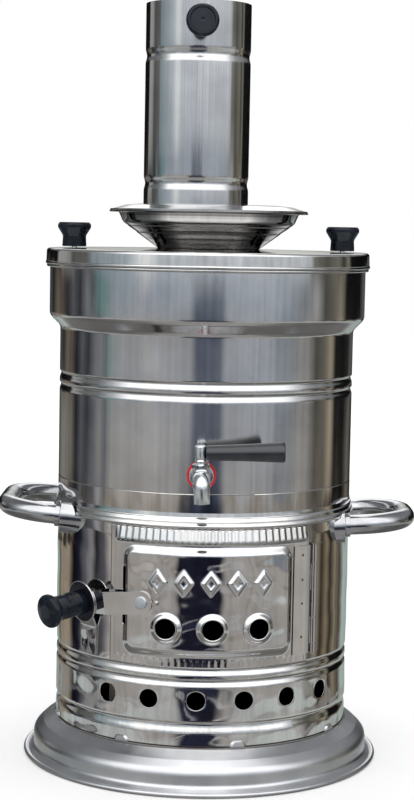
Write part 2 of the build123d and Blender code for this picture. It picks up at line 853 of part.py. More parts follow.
def tap_gasket_inner():
    """Soft ring inside the tank's wall."""
    start = -sheet - inner_gasket_thickness
    gasket = along_shank(ring(shank_r + 4 * seat_gap, flange_r, start, cut_over))
    return gasket & rod(inner_r - seat_gap, tank_z, rim_z)


def tap_back_nut():
    """Hexagonal nut that draws the tap against the wall."""
    end = -sheet - inner_gasket_thickness - seat_gap
    start = end - back_nut_thickness
    nut = hexagon(back_nut_across, start, end)
    return along_shank(nut - rod(shank_r + seat_gap, start - cut_over, end + cut_over))


def tap_gland_nut():
    """Hexagonal bonnet that holds the key in its barrel."""
    nut = hexagon(gland_across, key_barrel_high, key_barrel_high + gland_height)
    return along_key(nut - rod(stem_r + run_gap, 0, cap_top))


def tap_plug():
    """Turning key: a plug with a cross hole and a stem."""
    low = key_barrel_floor - key_barrel_low + run_gap
    plug = rod(plug_r - run_gap, low, key_barrel_high - run_gap)
    plug += rod(stem_r, low, cap_top - cap_wall)
    plug -= Rot(90, 0, 0) * rod(waterway_r, -plug_r - cut_over, plug_r + cut_over)
    return along_key(plug)


def lever_place():
    """Frame at the key's axis with local z along the lever."""
    return tap_place() * Pos(0, -plug_reach, lever_height) * Rot(0, 90 + lever_droop, 0)


def tap_cap():
    """Cap on the stem with the tang that carries the lever."""
    cap = rod(cap_r, key_barrel_high + gland_height + move_gap, cap_top)
    cap = along_key(cap) + lever_place() * rod(tang_r, 0, tang_end)
    return cap - along_key(rod(stem_r + seat_gap, 0, cap_top - cap_wall + seat_gap))


def tap_lever():
    """Tapered lever with a rounded end, bored for the tang."""
    outline = [(0.0, lever_start), (lever_r, lever_start), (lever_end_r, lever_end), (0.0, lever_end)]
    lever = turned(outline, [0.0, *lever_edges, 0.0])
    return lever_place() * (lever - rod(tang_r + seat_gap, 0, tang_end + seat_gap))


# ---------------------------------------------------------------- lid
def lid():
    """Flat lid with a skirt, a lip that rests on the tank's rim and a hole for the flue."""
    outline = [
        (lip_r - lid_inset, rim_z + lip_height / 2),
        (lip_r - lid_inset - lid_taper, lid_z),
        (flue_r + lid_hole_gap, lid_z),
    ]
    cover = spun(outline, [lid_edge_r])
    cover += turned(
        [
            (lip_r - lip_height, rim_z),
            (lip_r, rim_z),
            (lip_r, rim_z + lip_height),
            (lip_r - lip_height, rim_z + lip_height),
        ],
        [0.0, *lip_edges, 0.0],
    )
    for side in (-1, 1):
        hole = rod(screw_r + seat_gap, lid_z - cut_over, lid_z + cut_over)
        cover -= Pos(side * lid_knob_reach, 0, 0) * hole
    return cover


def lid_knob(side):
    """Flared knob that stands on the lid."""
    outline = [
        (0.0, 0.0),
        (lid_knob_r, 0.0),
        (lid_knob_r, knob_waist * lid_knob_height),
        (lid_knob_top_r, knob_brim * lid_knob_height),
        (lid_knob_top_r, lid_knob_height),
        (0.0, lid_knob_height),
    ]
    knob = turned(outline, [0.0, 2 * lap, *flared_knob_bends, 0.0])
    knob -= rod(screw_r + seat_gap, -cut_over, screw_depth + screw_tip_gap)
    return Pos(side * lid_knob_reach, 0, lid_z) * knob


def lid_knob_screws():
    """The two screws that hold the lid's knobs, from below."""
    fastener = screw(-sheet - seat_gap - screw_head_height, screw_depth)
    return Compound([Pos(side * lid_knob_reach, 0, lid_z) * fastener for side in (-1, 1)])


# ---------------------------------------------------------------- teapot stand
def stand_dish():
    """Bowl with a hole for the flue, a flange and a rolled rim."""
    roll_centre_r = dish_rim_r - dish_roll_r
    roll_z = dish_top_z + hem_flat - dish_roll_r
    flange_z = roll_z - sheet
    outline = [
        (flue_r + dish_hole_gap, dish_z),
        (dish_seat_r, dish_z),
        (dish_bowl_r - dish_belly_in, dish_z + dish_belly_rise),
        (dish_bowl_r, flange_z),
        (roll_centre_r, flange_z),
    ]
    section = sheet_face(outline, dish_bends)
    section += Pos(roll_centre_r, roll_z) * Circle(dish_roll_r)
    section -= Pos(roll_centre_r, dish_top_z + dish_roll_r) * Rectangle(4 * dish_roll_r, 2 * dish_roll_r)
    return about_z(section)


def stand_deck():
    """Domed plate on the dish's rim, flat in the middle for the chimney or a teapot."""
    edge_r = dish_rim_r - dish_roll_r + lap
    edge_z = dish_top_z + sheet
    outline = [
        (edge_r, edge_z),
        (edge_r - deck_lip, edge_z),
        ((edge_r + deck_flat_r) / 2, deck_z - deck_hip_drop),
        (deck_flat_r, deck_z),
        (deck_hole_r, deck_z),
    ]
    return spun(outline, deck_bends)


# ---------------------------------------------------------------- chimney
def chimney_knob_place():
    """Frame at the chimney's axis with local z along the knob."""
    at = Pos(chimney_offset, 0, 0) * outward(chimney_knob_az, chimney_top_z - chimney_knob_drop).location
    return at * Pos(0, 0, chimney_r) * Rot(-chimney_knob_tilt, 0, 0)


def chimney_pipe():
    """Removable pipe with two inward beads."""
    outline = [(chimney_r, deck_z)]
    for z in (deck_z + chimney_bead_low, chimney_top_z - chimney_bead_drop):
        outline += bead(chimney_r, z, chimney_bead_depth, chimney_bead_half)
    outline.append((chimney_r, chimney_top_z))
    pipe = Pos(chimney_offset, 0, 0) * spun(outline, 2 * bead_bends)
    return pipe - chimney_knob_place() * rod(screw_r + 4 * seat_gap, -cut_over, cut_over)


def chimney_knob():
    """Tapered knob, its foot shaped to the pipe."""
    length = chimney_knob_length
    outline = [
        (0.0, -cut_over),
        (chimney_knob_foot_r, -cut_over),
        (chimney_knob_foot_r, knob_waist * length),
        (chimney_knob_r, knob_brim * length),
        (chimney_knob_r, length),
        (0.0, length),
    ]
    knob = turned(outline, [0.0, 0.0, *flared_knob_bends, 0.0])
    knob -= rod(screw_r + seat_gap, -2 * cut_over, screw_depth + screw_tip_gap)
    knob = chimney_knob_place() * knob
    return knob - Pos(chimney_offset, 0, 0) * rod(chimney_r + seat_gap, deck_z, chimney_top_z)


def chimney_knob_screw():
    """Screw from inside the pipe into the knob."""
    head_start = -sheet - 2 * move_gap - screw_head_height
    return chimney_knob_place() * screw(head_start, screw_depth)


# ---------------------------------------------------------------- all pieces
SIDES = {
    "left": (-1, left_reach, left_half_span, left_drop, left_tilt),
    "right": (1, right_reach, right_half_span, right_drop, right_tilt),
}
ENDS = {"front": -1, "rear": 1}

PIECES = {
    "base_foot": base_foot(),
    "base_plate": base_plate(),
    "ash_tray": ash_tray(),
    "fire_chamber_shell": fire_chamber_shell(),
    "fire_grate": fire_grate(),
    "waist_ring": waist_ring(),
    "tank_shell": tank_shell(),
    "tank_floor": tank_floor(),
    "flue_tube": flue_tube(),
    "fire_door": fire_door(),
    "body_hinge_leaf": body_hinge_leaf(),
    "door_hinge_leaf": door_hinge_leaf(),
    "door_hinge_pin": door_hinge_pin(),
    "latch_rivet": latch_rivet(),
    "latch_stop": latch_stop(),
    "latch_arm": latch_arm(),
    "latch_washer": latch_washer(),
    "latch_knob": latch_knob(),
    "latch_screw": latch_screw(),
    "latch_catch": latch_catch(),
    "tap_gasket_outer": tap_gasket_outer(),
    "tap_flange": tap_flange(),
    "tap_body": tap_body(),
    "tap_gasket_inner": tap_gasket_inner(),
    "tap_back_nut": tap_back_nut(),
    "tap_gland_nut": tap_gland_nut(),
    "tap_plug": tap_plug(),
    "tap_cap": tap_cap(),
    "tap_lever": tap_lever(),
    "lid": lid(),
    "lid_knob_screws": lid_knob_screws(),
    "stand_dish": stand_dish(),
    "stand_deck": stand_deck(),
    "chimney_pipe": chimney_pipe(),
    "chimney_knob": chimney_knob(),
    "chimney_knob_screw": chimney_knob_screw(),
}
for side_name, (side, reach, half_span, drop, tilt) in SIDES.items():
    PIECES[f"lid_knob_{side_name}"] = lid_knob(side)
    PIECES[f"handle_{side_name}"] = handle(side, reach, half_span, drop, tilt)
    for end_name, end in ENDS.items():
        socket = handle_socket(side, half_span, drop, tilt, end)
        PIECES[f"handle_socket_{side_name}_{end_name}"] = socket

os.makedirs("parts", exist_ok=True)
for name, piece in PIECES.items():
    export_step(piece, f"parts/{name}.step")
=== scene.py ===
import bmesh
import bpy
import math
import numpy as np
from mathutils import Matrix, Vector

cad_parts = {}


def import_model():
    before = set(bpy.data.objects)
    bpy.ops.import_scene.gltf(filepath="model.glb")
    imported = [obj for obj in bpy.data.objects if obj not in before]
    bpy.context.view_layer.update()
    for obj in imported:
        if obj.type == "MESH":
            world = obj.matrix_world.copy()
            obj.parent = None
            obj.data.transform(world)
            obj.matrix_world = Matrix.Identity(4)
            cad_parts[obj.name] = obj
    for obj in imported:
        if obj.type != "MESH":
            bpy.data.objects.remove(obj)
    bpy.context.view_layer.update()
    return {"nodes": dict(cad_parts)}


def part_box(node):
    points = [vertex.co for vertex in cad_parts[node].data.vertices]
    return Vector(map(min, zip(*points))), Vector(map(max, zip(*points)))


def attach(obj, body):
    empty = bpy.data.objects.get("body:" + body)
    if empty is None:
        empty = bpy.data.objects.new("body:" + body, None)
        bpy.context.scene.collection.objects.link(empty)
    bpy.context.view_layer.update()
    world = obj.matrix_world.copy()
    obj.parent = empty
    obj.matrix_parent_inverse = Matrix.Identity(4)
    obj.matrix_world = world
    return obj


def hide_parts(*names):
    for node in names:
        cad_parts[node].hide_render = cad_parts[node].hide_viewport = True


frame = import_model()

# Lengths are millimetres and angles degrees, in the frame's axes: +Z up, -Y the front. An azimuth
# is measured about +Z from the front, positive towards +X. MM turns millimetres to metres.
MM = 0.001
NODES = frame["nodes"]


def span(node, axis):
    """Lowest and highest coordinate of a CAD node along x, y or z, in millimetres."""
    return [corner["xyz".index(axis)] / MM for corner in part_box(node)]


# -------- sizes
WALL = 0.8  # every sheet piece
TURNS = 240  # steps round a large turned piece
BODY_R = span("fire_chamber_shell", "x")[1]
SEAT_Z, CHAMBER_TOP_Z = span("fire_chamber_shell", "z")
WAIST_Z, WAIST_TOP_Z = span("waist_ring", "z")
WAIST_R = span("waist_ring", "x")[1]
TANK_Z, TANK_TOP_Z = span("tank_shell", "z")
RIM_R = span("tank_shell", "x")[1]
RIM_Z, LID_Z = span("lid", "z")
LIP_R = span("lid", "x")[1]
DISH_R = span("stand_dish", "x")[1]
DISH_TOP_Z = span("stand_dish", "z")[1]
DECK_EDGE_Z, DECK_Z = span("stand_deck", "z")
CHIMNEY_R = (span("chimney_pipe", "y")[1] - span("chimney_pipe", "y")[0]) / 2
CHIMNEY_X = sum(span("chimney_pipe", "x")) / 2
CHIMNEY_TOP_Z = span("chimney_pipe", "z")[1]
FOOT_R = span("base_foot", "x")[1]
DOOR_Z, DOOR_TOP_Z = span("fire_door", "z")
CATCH_Z, CATCH_TOP_Z = span("latch_catch", "z")

HEM_R = 2.1  # the foot's rolled edge
LUG_AZ = [14.5 + 45 * k for k in range(8)]

BEAD_DEPTH = 1.3
BEAD_ABOVE = 1.7  # a bead is steep above its deepest line and long below
BEAD_BELOW = 5.2
LOW_BEAD_Z = SEAT_Z + 17.0
GRATE_BEAD_Z = SEAT_Z + 60.0
BEAD_PITCH = 9.1
TANK_BEAD_Z = TANK_Z + 104.7
SHOULDER_Z = TANK_Z + 142.3
MOUTH_Z = SHOULDER_Z + 9.0
MOUTH_R = BODY_R + 8.8
LAP_Z = TANK_Z + 20.3  # seam where the tank's polished skirt is lapped

VENT_R = 7.25
VENT_Z = SEAT_Z + 35.6
VENT_AZ = [-37.5 + 18 * k for k in range(6)]
WAY_AZ = 3.5  # middle of the door's way into the chamber
WAY_Z = DOOR_Z + 54.4
WAY_HALF_AZ = 35.0
WAY_HALF_Z = 45.0
WAY_BEND = 6.0

DOOR_R = BODY_R + 1.2
DOOR_AZ = (-36.0, 43.5)
PILLOW_AZ = (-30.0, 35.0)
PILLOW_LOW = 8.4
PILLOW_HIGH = 14.4
LOZENGE_AZ = [-16.0 + 9.6 * k for k in range(5)]
LOZENGE_Z = DOOR_Z + 66.5
PEEP_AZ = (-12.7, 4.0, 20.8)
PEEP_Z = DOOR_Z + 30.9
SLOT_AZ = -29.6  # where the latch arm's tail comes through the door
SLOT_Z = (DOOR_Z + 30.4, DOOR_TOP_Z - 31.4)
SLOT_HALF = 1.4
HINGE_AZ = 40.0
WELD_Z = [DOOR_Z + rise for rise in (85.1, 65.5, 46.7, 20.0)]

RIVET_AZ = -21.9
LATCH_Z = DOOR_Z + 49.5
ARM_FACE = 126.15  # outer face of the latch arm, from the body's axis
ARM_WALL = 1.5
ARM_DROOP = 6.0
FOLD_REACH = 31.0  # rivet to the fold of the arm's tail
FOLD_TURN = 27.0
FOLD_TWIST = 4.3
KNOB_REACH = 27.0  # fold to the latch knob's axis
CATCH_AZ = (-52.0, -43.2)
CATCH_R = BODY_R + 1.25
CATCH_WALL = 1.2

LID_KNOB_X = LIP_R - 22.8
CHIMNEY_BEAD_Z = (DECK_Z + 16.7, DECK_Z + 118.7)
CHIMNEY_BEAD = (1.1, 6.2, 6.2)  # depth, and extent above and below
CHIMNEY_KNOB_AZ = 3.2
CHIMNEY_KNOB_Z = DECK_Z + 140.4
CHIMNEY_KNOB_TILT = 6.0

HANDLE_R = 8.0
HANDLE_BEND = 38.0
HANDLE_REACH = {"left": 48.0, "right": 54.0}
HANDLE_DROP = {"left": 5.4, "right": 11.7}
HANDLE_TILT = {"left": 5.0, "right": 3.2}

TAP_X = -2.0
TAP_Z = TANK_Z + 35.2
TAP_LEAN = 3.0
TAP_WALL_Y = math.sqrt(BODY_R**2 - TAP_X**2)
KEY_REACH = 16.0  # wall to the key's axis
SPOUT_REACH = 28.0  # wall to the spout's axis
SPOUT_DROP = 17.6
COLLAR_REACH = 13.0
LEVER_Z = 19.1
LEVER_TURN = 91.4


# -------- shapes
def unit(vectors):
    """Vectors over their own lengths."""
    return vectors / np.linalg.norm(vectors, axis=-1, keepdims=True)


def round_angles(count):
    """Even steps round a full turn, in radians."""
    return np.linspace(0, 2 * np.pi, count, endpoint=False)


def arc(azimuth, radius):
    """Length round the body from the front to an azimuth."""
    return math.radians(azimuth) * radius


def rounded(points, bends, steps=6):
    """Corner points joined by straight runs. A corner with a bend becomes an arc from one run to
    the other, about the point on the corner's bisector at bend / sin(half the corner's angle)."""
    points = np.asarray(points, float)
    line = [points[:1]]
    for before, corner, after, bend in zip(points, points[1:], points[2:], bends):
        if not bend:
            line.append(corner[None])
            continue
        back, on = unit(before - corner), unit(after - corner)
        half = 0.5 * math.acos(np.clip(back @ on, -1, 1))
        centre = corner + unit(back + on) * bend / math.sin(half)
        first = corner + back * bend / math.tan(half) - centre
        last = corner + on * bend / math.tan(half) - centre
        turned = math.pi - 2 * half
        t = np.linspace(0, 1, steps + 1)[:, None]
        ends = np.sin((1 - t) * turned) * first + np.sin(t * turned) * last
        line.append(centre + ends / math.sin(turned))
    line.append(points[-1:])
    return np.concatenate(line)


def rounded_ring(points, bends, steps=6):
    """The same for a closed outline."""
    points = np.asarray(points, float)
    return rounded([points[-1], *points, points[0]], bends, steps)[1:-1]


def circle(centre, radius, count):
    """Centre + radius * (cos a, sin a)."""
    a = round_angles(count)
    return np.stack([centre[0] + radius * np.cos(a), centre[1] + radius * np.sin(a)], -1)


def sheet_section(points, bends, wall=WALL, steps=6):
    """Closed section of a bent sheet: the rounded line, and back along the same line moved to its
    left by the wall. At each point it moves by wall * (n1 + n2) / (1 + n1 . n2), where n1 and n2
    are the unit normals of the runs before and after."""
    line = rounded(points, bends, steps)
    runs = np.diff(line, axis=0)
    line = line[np.r_[True, np.linalg.norm(runs, axis=1) > 1e-6]]
    along = unit(np.diff(line, axis=0))
    left = np.stack([-along[:, 1], along[:, 0]], -1)
    before, after = np.r_[left[:1], left], np.r_[left, left[-1:]]
    move = wall * (before + after) / (1 + np.sum(before * after, axis=1, keepdims=True))
    return np.concatenate([line, (line + move)[::-1]])


def quads(rows, cols, close_rows=True):
    """Four-cornered faces of a grid of points whose columns, and maybe rows, close round."""
    i, j = np.divmod(np.arange((rows - (not close_rows)) * cols), cols)
    i2, j2 = (i + 1) % rows, (j + 1) % cols
    return np.stack([i * cols + j, i * cols + j2, i2 * cols + j2, i2 * cols + j], -1)


def lathe(section, turns=TURNS, solid=False, relief=None):
    """Section of (r, z) points turned about Z: (r sin a, -r cos a, z) for every azimuth a. A solid's
    section starts and ends on the axis. relief adds a height to r, from the azimuth and z."""
    a = round_angles(turns)[None]
    r, z = (column[:, None] for column in np.asarray(section, float).T)
    if relief:
        r = r + relief(np.degrees(a), z)
    points = np.stack([r * np.sin(a), -r * np.cos(a), z + 0 * a], -1)
    return points.reshape(-1, 3), quads(len(z), turns, close_rows=not solid)


def hoop(inner, outer, bottom, top, bends, steps=6, turns=TURNS):
    """Oblong section from one radius to another and one height to another, turned about Z."""
    corners = [(inner, bottom), (outer, bottom), (outer, top), (inner, top)]
    return lathe(rounded_ring(corners, bends, steps), turns)


def peg(points, bends, steps, turns):
    """Rounded section from the axis and back to it, turned about Z."""
    return lathe(rounded(points, bends, steps), turns, solid=True)


def tube(line, radius, normal, sides, runs=None):
    """Round bar along a flat line: rings of radius * (cos a across + sin a normal), where across is
    normal x the line's direction. The ends close to points. The directions come from runs instead
    where the line turns back inside its own bar."""
    line, normal = np.asarray(line, float), np.asarray(normal, float)
    steps = unit(np.diff(line if runs is None else runs, axis=0))
    along = unit(np.r_[steps[:1], steps] + np.r_[steps, steps[-1:]])
    across = unit(np.cross(normal, along))
    a = round_angles(sides)[None, :, None]
    radius = np.broadcast_to(radius, len(line))[:, None, None]
    rings = line[:, None] + radius * (np.cos(a) * across[:, None] + np.sin(a) * normal)
    ends = [np.repeat(line[k][None, None], sides, 1) for k in (0, -1)]
    points = np.concatenate([ends[0], rings, ends[1]])
    return points.reshape(-1, 3), quads(len(points), sides, close_rows=False)


def holed(u, v, holes):
    """Flat grid over the lines u and v. Each hole takes out the block of cells around its centre,
    and rings run from the block's edge to the hole: a point p of the edge goes to c + k + r d,
    where k is p - c held within the hole's straight half lengths, d the direction from there to p,
    and (r, h) each step of the hole's lip. Returns flat points (u, v, h) and faces."""
    keep = np.ones((len(u) - 1, len(v) - 1), bool)
    flat = np.meshgrid(u, v, indexing="ij")
    points = [np.stack([*flat, np.zeros((len(u), len(v)))], -1).reshape(-1, 3)]
    faces = []
    start = len(u) * len(v)
    for centre, half, margin, lip in holes:
        centre, half, lip = (np.asarray(value, float) for value in (centre, half, lip))
        corners = centre - half - margin, centre + half + margin
        i0, i1 = (int(np.argmin(abs(u - corner[0]))) for corner in corners)
        j0, j1 = (int(np.argmin(abs(v - corner[1]))) for corner in corners)
        keep[i0:i1, j0:j1] = False
        edge = np.concatenate([
            np.stack([u[i0:i1], np.full(i1 - i0, v[j0])], -1),
            np.stack([np.full(j1 - j0, u[i1]), v[j0:j1]], -1),
            np.stack([u[i1:i0:-1], np.full(i1 - i0, v[j1])], -1),
            np.stack([np.full(j1 - j0, u[i0]), v[j1:j0:-1]], -1),
        ])
        inside = np.clip(edge - centre, -half, half)
        away = unit(edge - centre - inside)
        near = centre + inside + lip[0, 0] * away
        t = np.linspace(0, 1, 5)[:-1, None, None]
        apron = np.concatenate([edge + t * (near - edge), np.zeros((len(t), len(edge), 1))], -1)
        flat = centre + inside + lip[:, 0, None, None] * away
        throat = np.concatenate([flat, np.broadcast_to(lip[:, 1, None, None], (*flat.shape[:2], 1))], -1)
        rings = np.concatenate([apron, throat])
        points.append(rings.reshape(-1, 3))
        faces.append(start + quads(len(rings), len(edge), close_rows=False))
        start += rings.shape[0] * rings.shape[1]
    i, j = np.nonzero(keep)
    here = i * len(v) + j
    faces.append(np.stack([here, here + len(v), here + len(v) + 1, here + 1], -1))
    return np.concatenate(points), np.concatenate(faces)


def wrapped(shape, radius, relief):
    """Flat (u, v, h) bent round the body's axis: azimuth u / radius, height v, and the distance
    radius + relief(u, v) + h."""
    (u, v, h), faces = shape[0].T, shape[1]
    a = u / radius
    r = radius + relief(u, v) + h
    return np.stack([r * np.sin(a), -r * np.cos(a), v], -1), faces


def joined(*shapes):
    """Several (points, faces) as one."""
    starts = np.cumsum([0, *(len(points) for points, faces in shapes[:-1])])
    return (np.concatenate([points for points, faces in shapes]),
            np.concatenate([faces + start for start, (points, faces) in zip(starts, shapes)]))


def placed(shape, place):
    """Points turned and moved by a 4 x 4 matrix."""
    place = np.asarray(place, float)
    return shape[0] @ place[:3, :3].T + place[:3, 3], shape[1]


def shift(x, y, z):
    return Matrix.Translation((x, y, z))


def turn(degrees, axis):
    return Matrix.Rotation(math.radians(degrees), 4, axis)


def outward(azimuth, z, distance=0.0):
    """Place with local z pointing out from the body's axis, local y up, at a distance from it."""
    return turn(azimuth, "Z") @ shift(0, -distance, z) @ turn(90, "X")


def lines(*stops):
    """Grid lines through the stops: (end, step) pairs after a first value, evenly divided."""
    out = [np.array([float(stops[0])])]
    for end, step in stops[1:]:
        count = max(1, round((end - out[-1][-1]) / step))
        out.append(np.linspace(out[-1][-1], end, count + 1)[1:])
    return np.concatenate(out)


# -------- reliefs of the sheet
def smooth(x):
    """0 below 0, 1 above 1, and 3x^2 - 2x^3 between."""
    x = np.clip(x, 0, 1)
    return x * x * (3 - 2 * x)


def hollow(z, at, depth=BEAD_DEPTH, above=BEAD_ABOVE, below=BEAD_BELOW):
    """Section of a rolled bead: -depth * (1 + cos(pi t)) / 2, where t is the height from its
    deepest line over its extent above or below."""
    t = np.clip(np.where(z > at, (z - at) / above, (z - at) / below), -1, 1)
    return -depth * (1 + np.cos(np.pi * t)) / 2


def bead_points(radius, at, steps, depth=BEAD_DEPTH, above=BEAD_ABOVE, below=BEAD_BELOW):
    """Wall points (radius + hollow, z) through a bead, with steps below and above its line."""
    z = lines(at - below, (at, below / steps[0]), (at + above, above / steps[1]))
    return np.stack([radius + hollow(z, at, depth, above, below), z], -1)


def dents(u, v, size, wave=1.0):
    """Shallow hand-worked waves: the sum of six sines along different directions."""
    u, v = u / wave, v / wave
    waves = [(0.11, 0.05, 0.3, 1.0), (-0.07, 0.13, 1.7, 0.8), (0.19, -0.04, 4.1, 0.45),
             (0.05, 0.21, 2.6, 0.4), (0.31, 0.16, 5.2, 0.22), (-0.16, 0.4, 0.8, 0.12)]
    bent = u + 7 * np.sin(0.06 * v + 1) + 5 * np.sin(0.045 * u)
    return size * sum(part * np.sin(a * bent + b * v + phase) for a, b, phase, part in waves)


def hoop_dents(azimuth, v, radius, size, wave=1.0):
    """Dents that close round a turned piece: u is its x coordinate."""
    return dents(radius * np.sin(np.radians(azimuth)), v, size, wave)


def from_back(azimuth):
    """Angle round from the middle of the back."""
    return np.abs(azimuth % 360 - 180)


def seam(azimuth, radius, half=4.5):
    """Lapped seam down the back: 0.35 proud, with a soft edge of 1.6 inside its half width."""
    return 0.35 * smooth((half - np.radians(from_back(azimuth)) * radius) / 1.6)


def box_distance(x, y, half, corner):
    """Distance outside a rounded rectangle about the origin, negative inside."""
    dx, dy = np.abs(x) - half[0] + corner, np.abs(y) - half[1] + corner
    return np.hypot(np.maximum(dx, 0), np.maximum(dy, 0)) + np.minimum(np.maximum(dx, dy), 0) - corner


# -------- materials
def linear(code):
    """sRGB hex colour as linear RGBA."""
    parts = [int(code[k:k + 2], 16) / 255 for k in (1, 3, 5)]
    return [c / 12.92 if c <= 0.04045 else ((c + 0.055) / 1.055) ** 2.4 for c in parts] + [1.0]


def add(tree, kind, settings=None, **links):
    """Adds a node. settings are attributes, or input values where the name or number is an input's;
    links join an input, by name with _ for a space or by i and its number, to another node's
    output."""
    node = tree.nodes.new(kind)
    for key, value in (settings or {}).items():
        if isinstance(key, int) or key in node.inputs:
            node.inputs[key].default_value = value
        else:
            setattr(node, key, value)
    for key, source in links.items():
        name = int(key[1:]) if key[0] == "i" and key[1:].isdigit() else key.replace("_", " ")
        tree.links.new(source, node.inputs[name])
    return node


def ramp(tree, fac, stops):
    """Colour ramp through (position, hex colour) stops."""
    node = add(tree, "ShaderNodeValToRGB", Fac=fac)
    bar = node.color_ramp.elements
    while len(bar) < len(stops):
        bar.new(0.5)
    for element, (position, code) in zip(bar, sorted(stops)):
        element.position = position
        element.color = linear(code)
    return node.outputs["Color"]


def noise(tree, coords, scale, detail=2.0, stretch=(1, 1, 1)):
    """Noise with so many waves a metre, stretched along the axes."""
    mapped = add(tree, "ShaderNodeMapping", {"Scale": stretch}, Vector=coords).outputs[0]
    return add(tree, "ShaderNodeTexNoise", {"Scale": scale, "Detail": detail}, Vector=mapped).outputs["Fac"]


def spread(tree, fac, low_value, high_value, start=0.3, end=0.7):
    """Map a factor from start..end to low_value..high_value."""
    settings = {"From Min": start, "From Max": end, "To Min": low_value, "To Max": high_value}
    return add(tree, "ShaderNodeMapRange", settings, Value=fac).outputs["Result"]


def reckon(tree, operation, first, second):
    """Math of two outputs."""
    return add(tree, "ShaderNodeMath", {"operation": operation}, i0=first, i1=second).outputs[0]


def radial(tree, coords):
    """Vector (distance from Z, z, 0) for patterns that run round a turned piece."""
    parts = add(tree, "ShaderNodeSeparateXYZ", Vector=coords)
    flat = add(tree, "ShaderNodeCombineXYZ", X=parts.outputs["X"], Y=parts.outputs["Y"]).outputs[0]
    distance = add(tree, "ShaderNodeVectorMath", {"operation": "LENGTH"}, i0=flat).outputs["Value"]
    return add(tree, "ShaderNodeCombineXYZ", X=distance, Y=parts.outputs["Z"]).outputs[0]


class Finish:
    """Material with one Principled shader, its own values set, in object coordinates."""

    def __init__(self, name, **sockets):
        self.material = bpy.data.materials.new(name)
        self.material.use_nodes = True
        self.tree = self.material.node_tree
        self.inputs = self.tree.nodes["Principled BSDF"].inputs
        for key, value in sockets.items():
            self.inputs[key.replace("_", " ")].default_value = value
        self.coords = add(self.tree, "ShaderNodeTexCoord").outputs["Object"]

    def noise(self, scale, detail=2.0, stretch=(1, 1, 1)):
        return noise(self.tree, self.coords, scale, detail, stretch)

    def rings(self, scale):
        """Noise that runs round Z."""
        return noise(self.tree, radial(self.tree, self.coords), scale)

    def tint(self, pattern, stops, smoothest, roughest):
        """Colour and roughness that follow a pattern."""
        self.tree.links.new(ramp(self.tree, pattern, stops), self.inputs["Base Color"])
        self.tree.links.new(spread(self.tree, pattern, smoothest, roughest), self.inputs["Roughness"])

    def emboss(self, pattern, strength, height):
        """Bumps that follow a pattern, up to a height in millimetres."""
        settings = {"Strength": strength, "Distance": height * MM}
        bump = add(self.tree, "ShaderNodeBump", settings, Height=pattern).outputs[0]
        self.tree.links.new(bump, self.inputs["Normal"])


def lathe_finish(name, brushed):
    """Metal worked on a lathe: fine lines run round Z, and reflections smear across them."""
    metal = Finish(name, Metallic=1.0, Anisotropic=brushed, Anisotropic_Rotation=0.25)
    tangent = add(metal.tree, "ShaderNodeTangent", {"direction_type": "RADIAL", "axis": "Z"})
    metal.tree.links.new(tangent.outputs[0], metal.inputs["Tangent"])
    return metal


def polished_steel():
    """Stainless steel sheet, buffed to a mirror: sharp reflections, faint smears and hairlines."""
    steel = Finish("polished_stainless_steel", Metallic=1.0)
    steel.tint(steel.noise(45, 3), [(0.35, "#d8d7d6"), (0.65, "#e6e5e4")], 0.03, 0.075)
    steel.emboss(steel.noise(500, 2, (1, 1, 8)), 0.05, 0.02)
    return steel.material


def drawn_steel():
    """Stainless tube, drawn and half polished: darker than the sheet, reflections a little soft."""
    steel = Finish("drawn_stainless_tube", Metallic=1.0)
    steel.tint(steel.noise(60, 3), [(0.35, "#b2b3b6"), (0.65, "#c8c9cc")], 0.1, 0.17)
    steel.emboss(steel.noise(90), 0.3, 0.5)
    return steel.material


def satin_steel():
    """Stainless steel, spun and polished round: its lines smear reflections up and down, so that
    they look like streaks."""
    steel = lathe_finish("satin_stainless_steel", 0.95)
    steel.tint(steel.noise(30, 3), [(0.35, "#cfcfd0"), (0.65, "#dddddd")], 0.085, 0.11475)
    steel.emboss(steel.rings(2500), 0.12, 0.02)
    return steel.material


def painted_sheen_ring_steel():
    """Stainless steel bowl, spun: the colour is darkened and runs in lighter and darker rings round it,
    painted shade and painted reflection bands.
    """
    steel = lathe_finish("steel_with_painted_sheen_rings", 0.4)
    # Painted reflection bands: rings that darken and lighten the colour round the bowl, on a colour
    # darkened as painted shade.
    steel.tint(steel.rings(240), [(0.36, "#6c6b69"), (0.5, "#989796"), (0.64, "#bdbcbb")], 0.05, 0.08)
    return steel.material


def spun_aluminium():
    """Aluminium sheet spun over a form: soft satin with turning lines."""
    sheet = lathe_finish("spun_aluminium", 0.5)
    sheet.tint(sheet.noise(25, 3), [(0.35, "#c9cacd"), (0.65, "#dcdde0")], 0.27, 0.36)
    sheet.emboss(sheet.rings(1800), 0.2, 0.03)
    return sheet.material


def bakelite(name, gloss, rough):
    """Phenolic resin, moulded: near black with a blue cast, half gloss, faint flow and dust."""
    resin = Finish(name, IOR=1.5, Specular_IOR_Level=gloss)
    flow = resin.noise(120, 4)
    resin.tint(flow, [(0.3, "#0b1017"), (0.7, "#19212c")], rough, rough + 0.1)
    resin.emboss(flow, 0.15, 0.05)
    return resin.material


def red_rubber():
    """Silicone rubber, die cut: soft matt red."""
    rubber = Finish("red_silicone_rubber", IOR=1.43)
    rubber.tint(rubber.noise(900, 3), [(0.3, "#b51c26"), (0.7, "#cf2a33")], 0.5, 0.65)
    return rubber.material


def chromed_brass():
    """Cast brass, polished and chrome plated: bright, faintly blue, with soft casting waves."""
    brass = Finish("chromed_brass", Metallic=1.0)
    waves = brass.noise(260)
    brass.tint(waves, [(0.35, "#dfe3e6"), (0.65, "#eceff1")], 0.16, 0.26)
    brass.emboss(waves, 0.4, 0.3)
    return brass.material


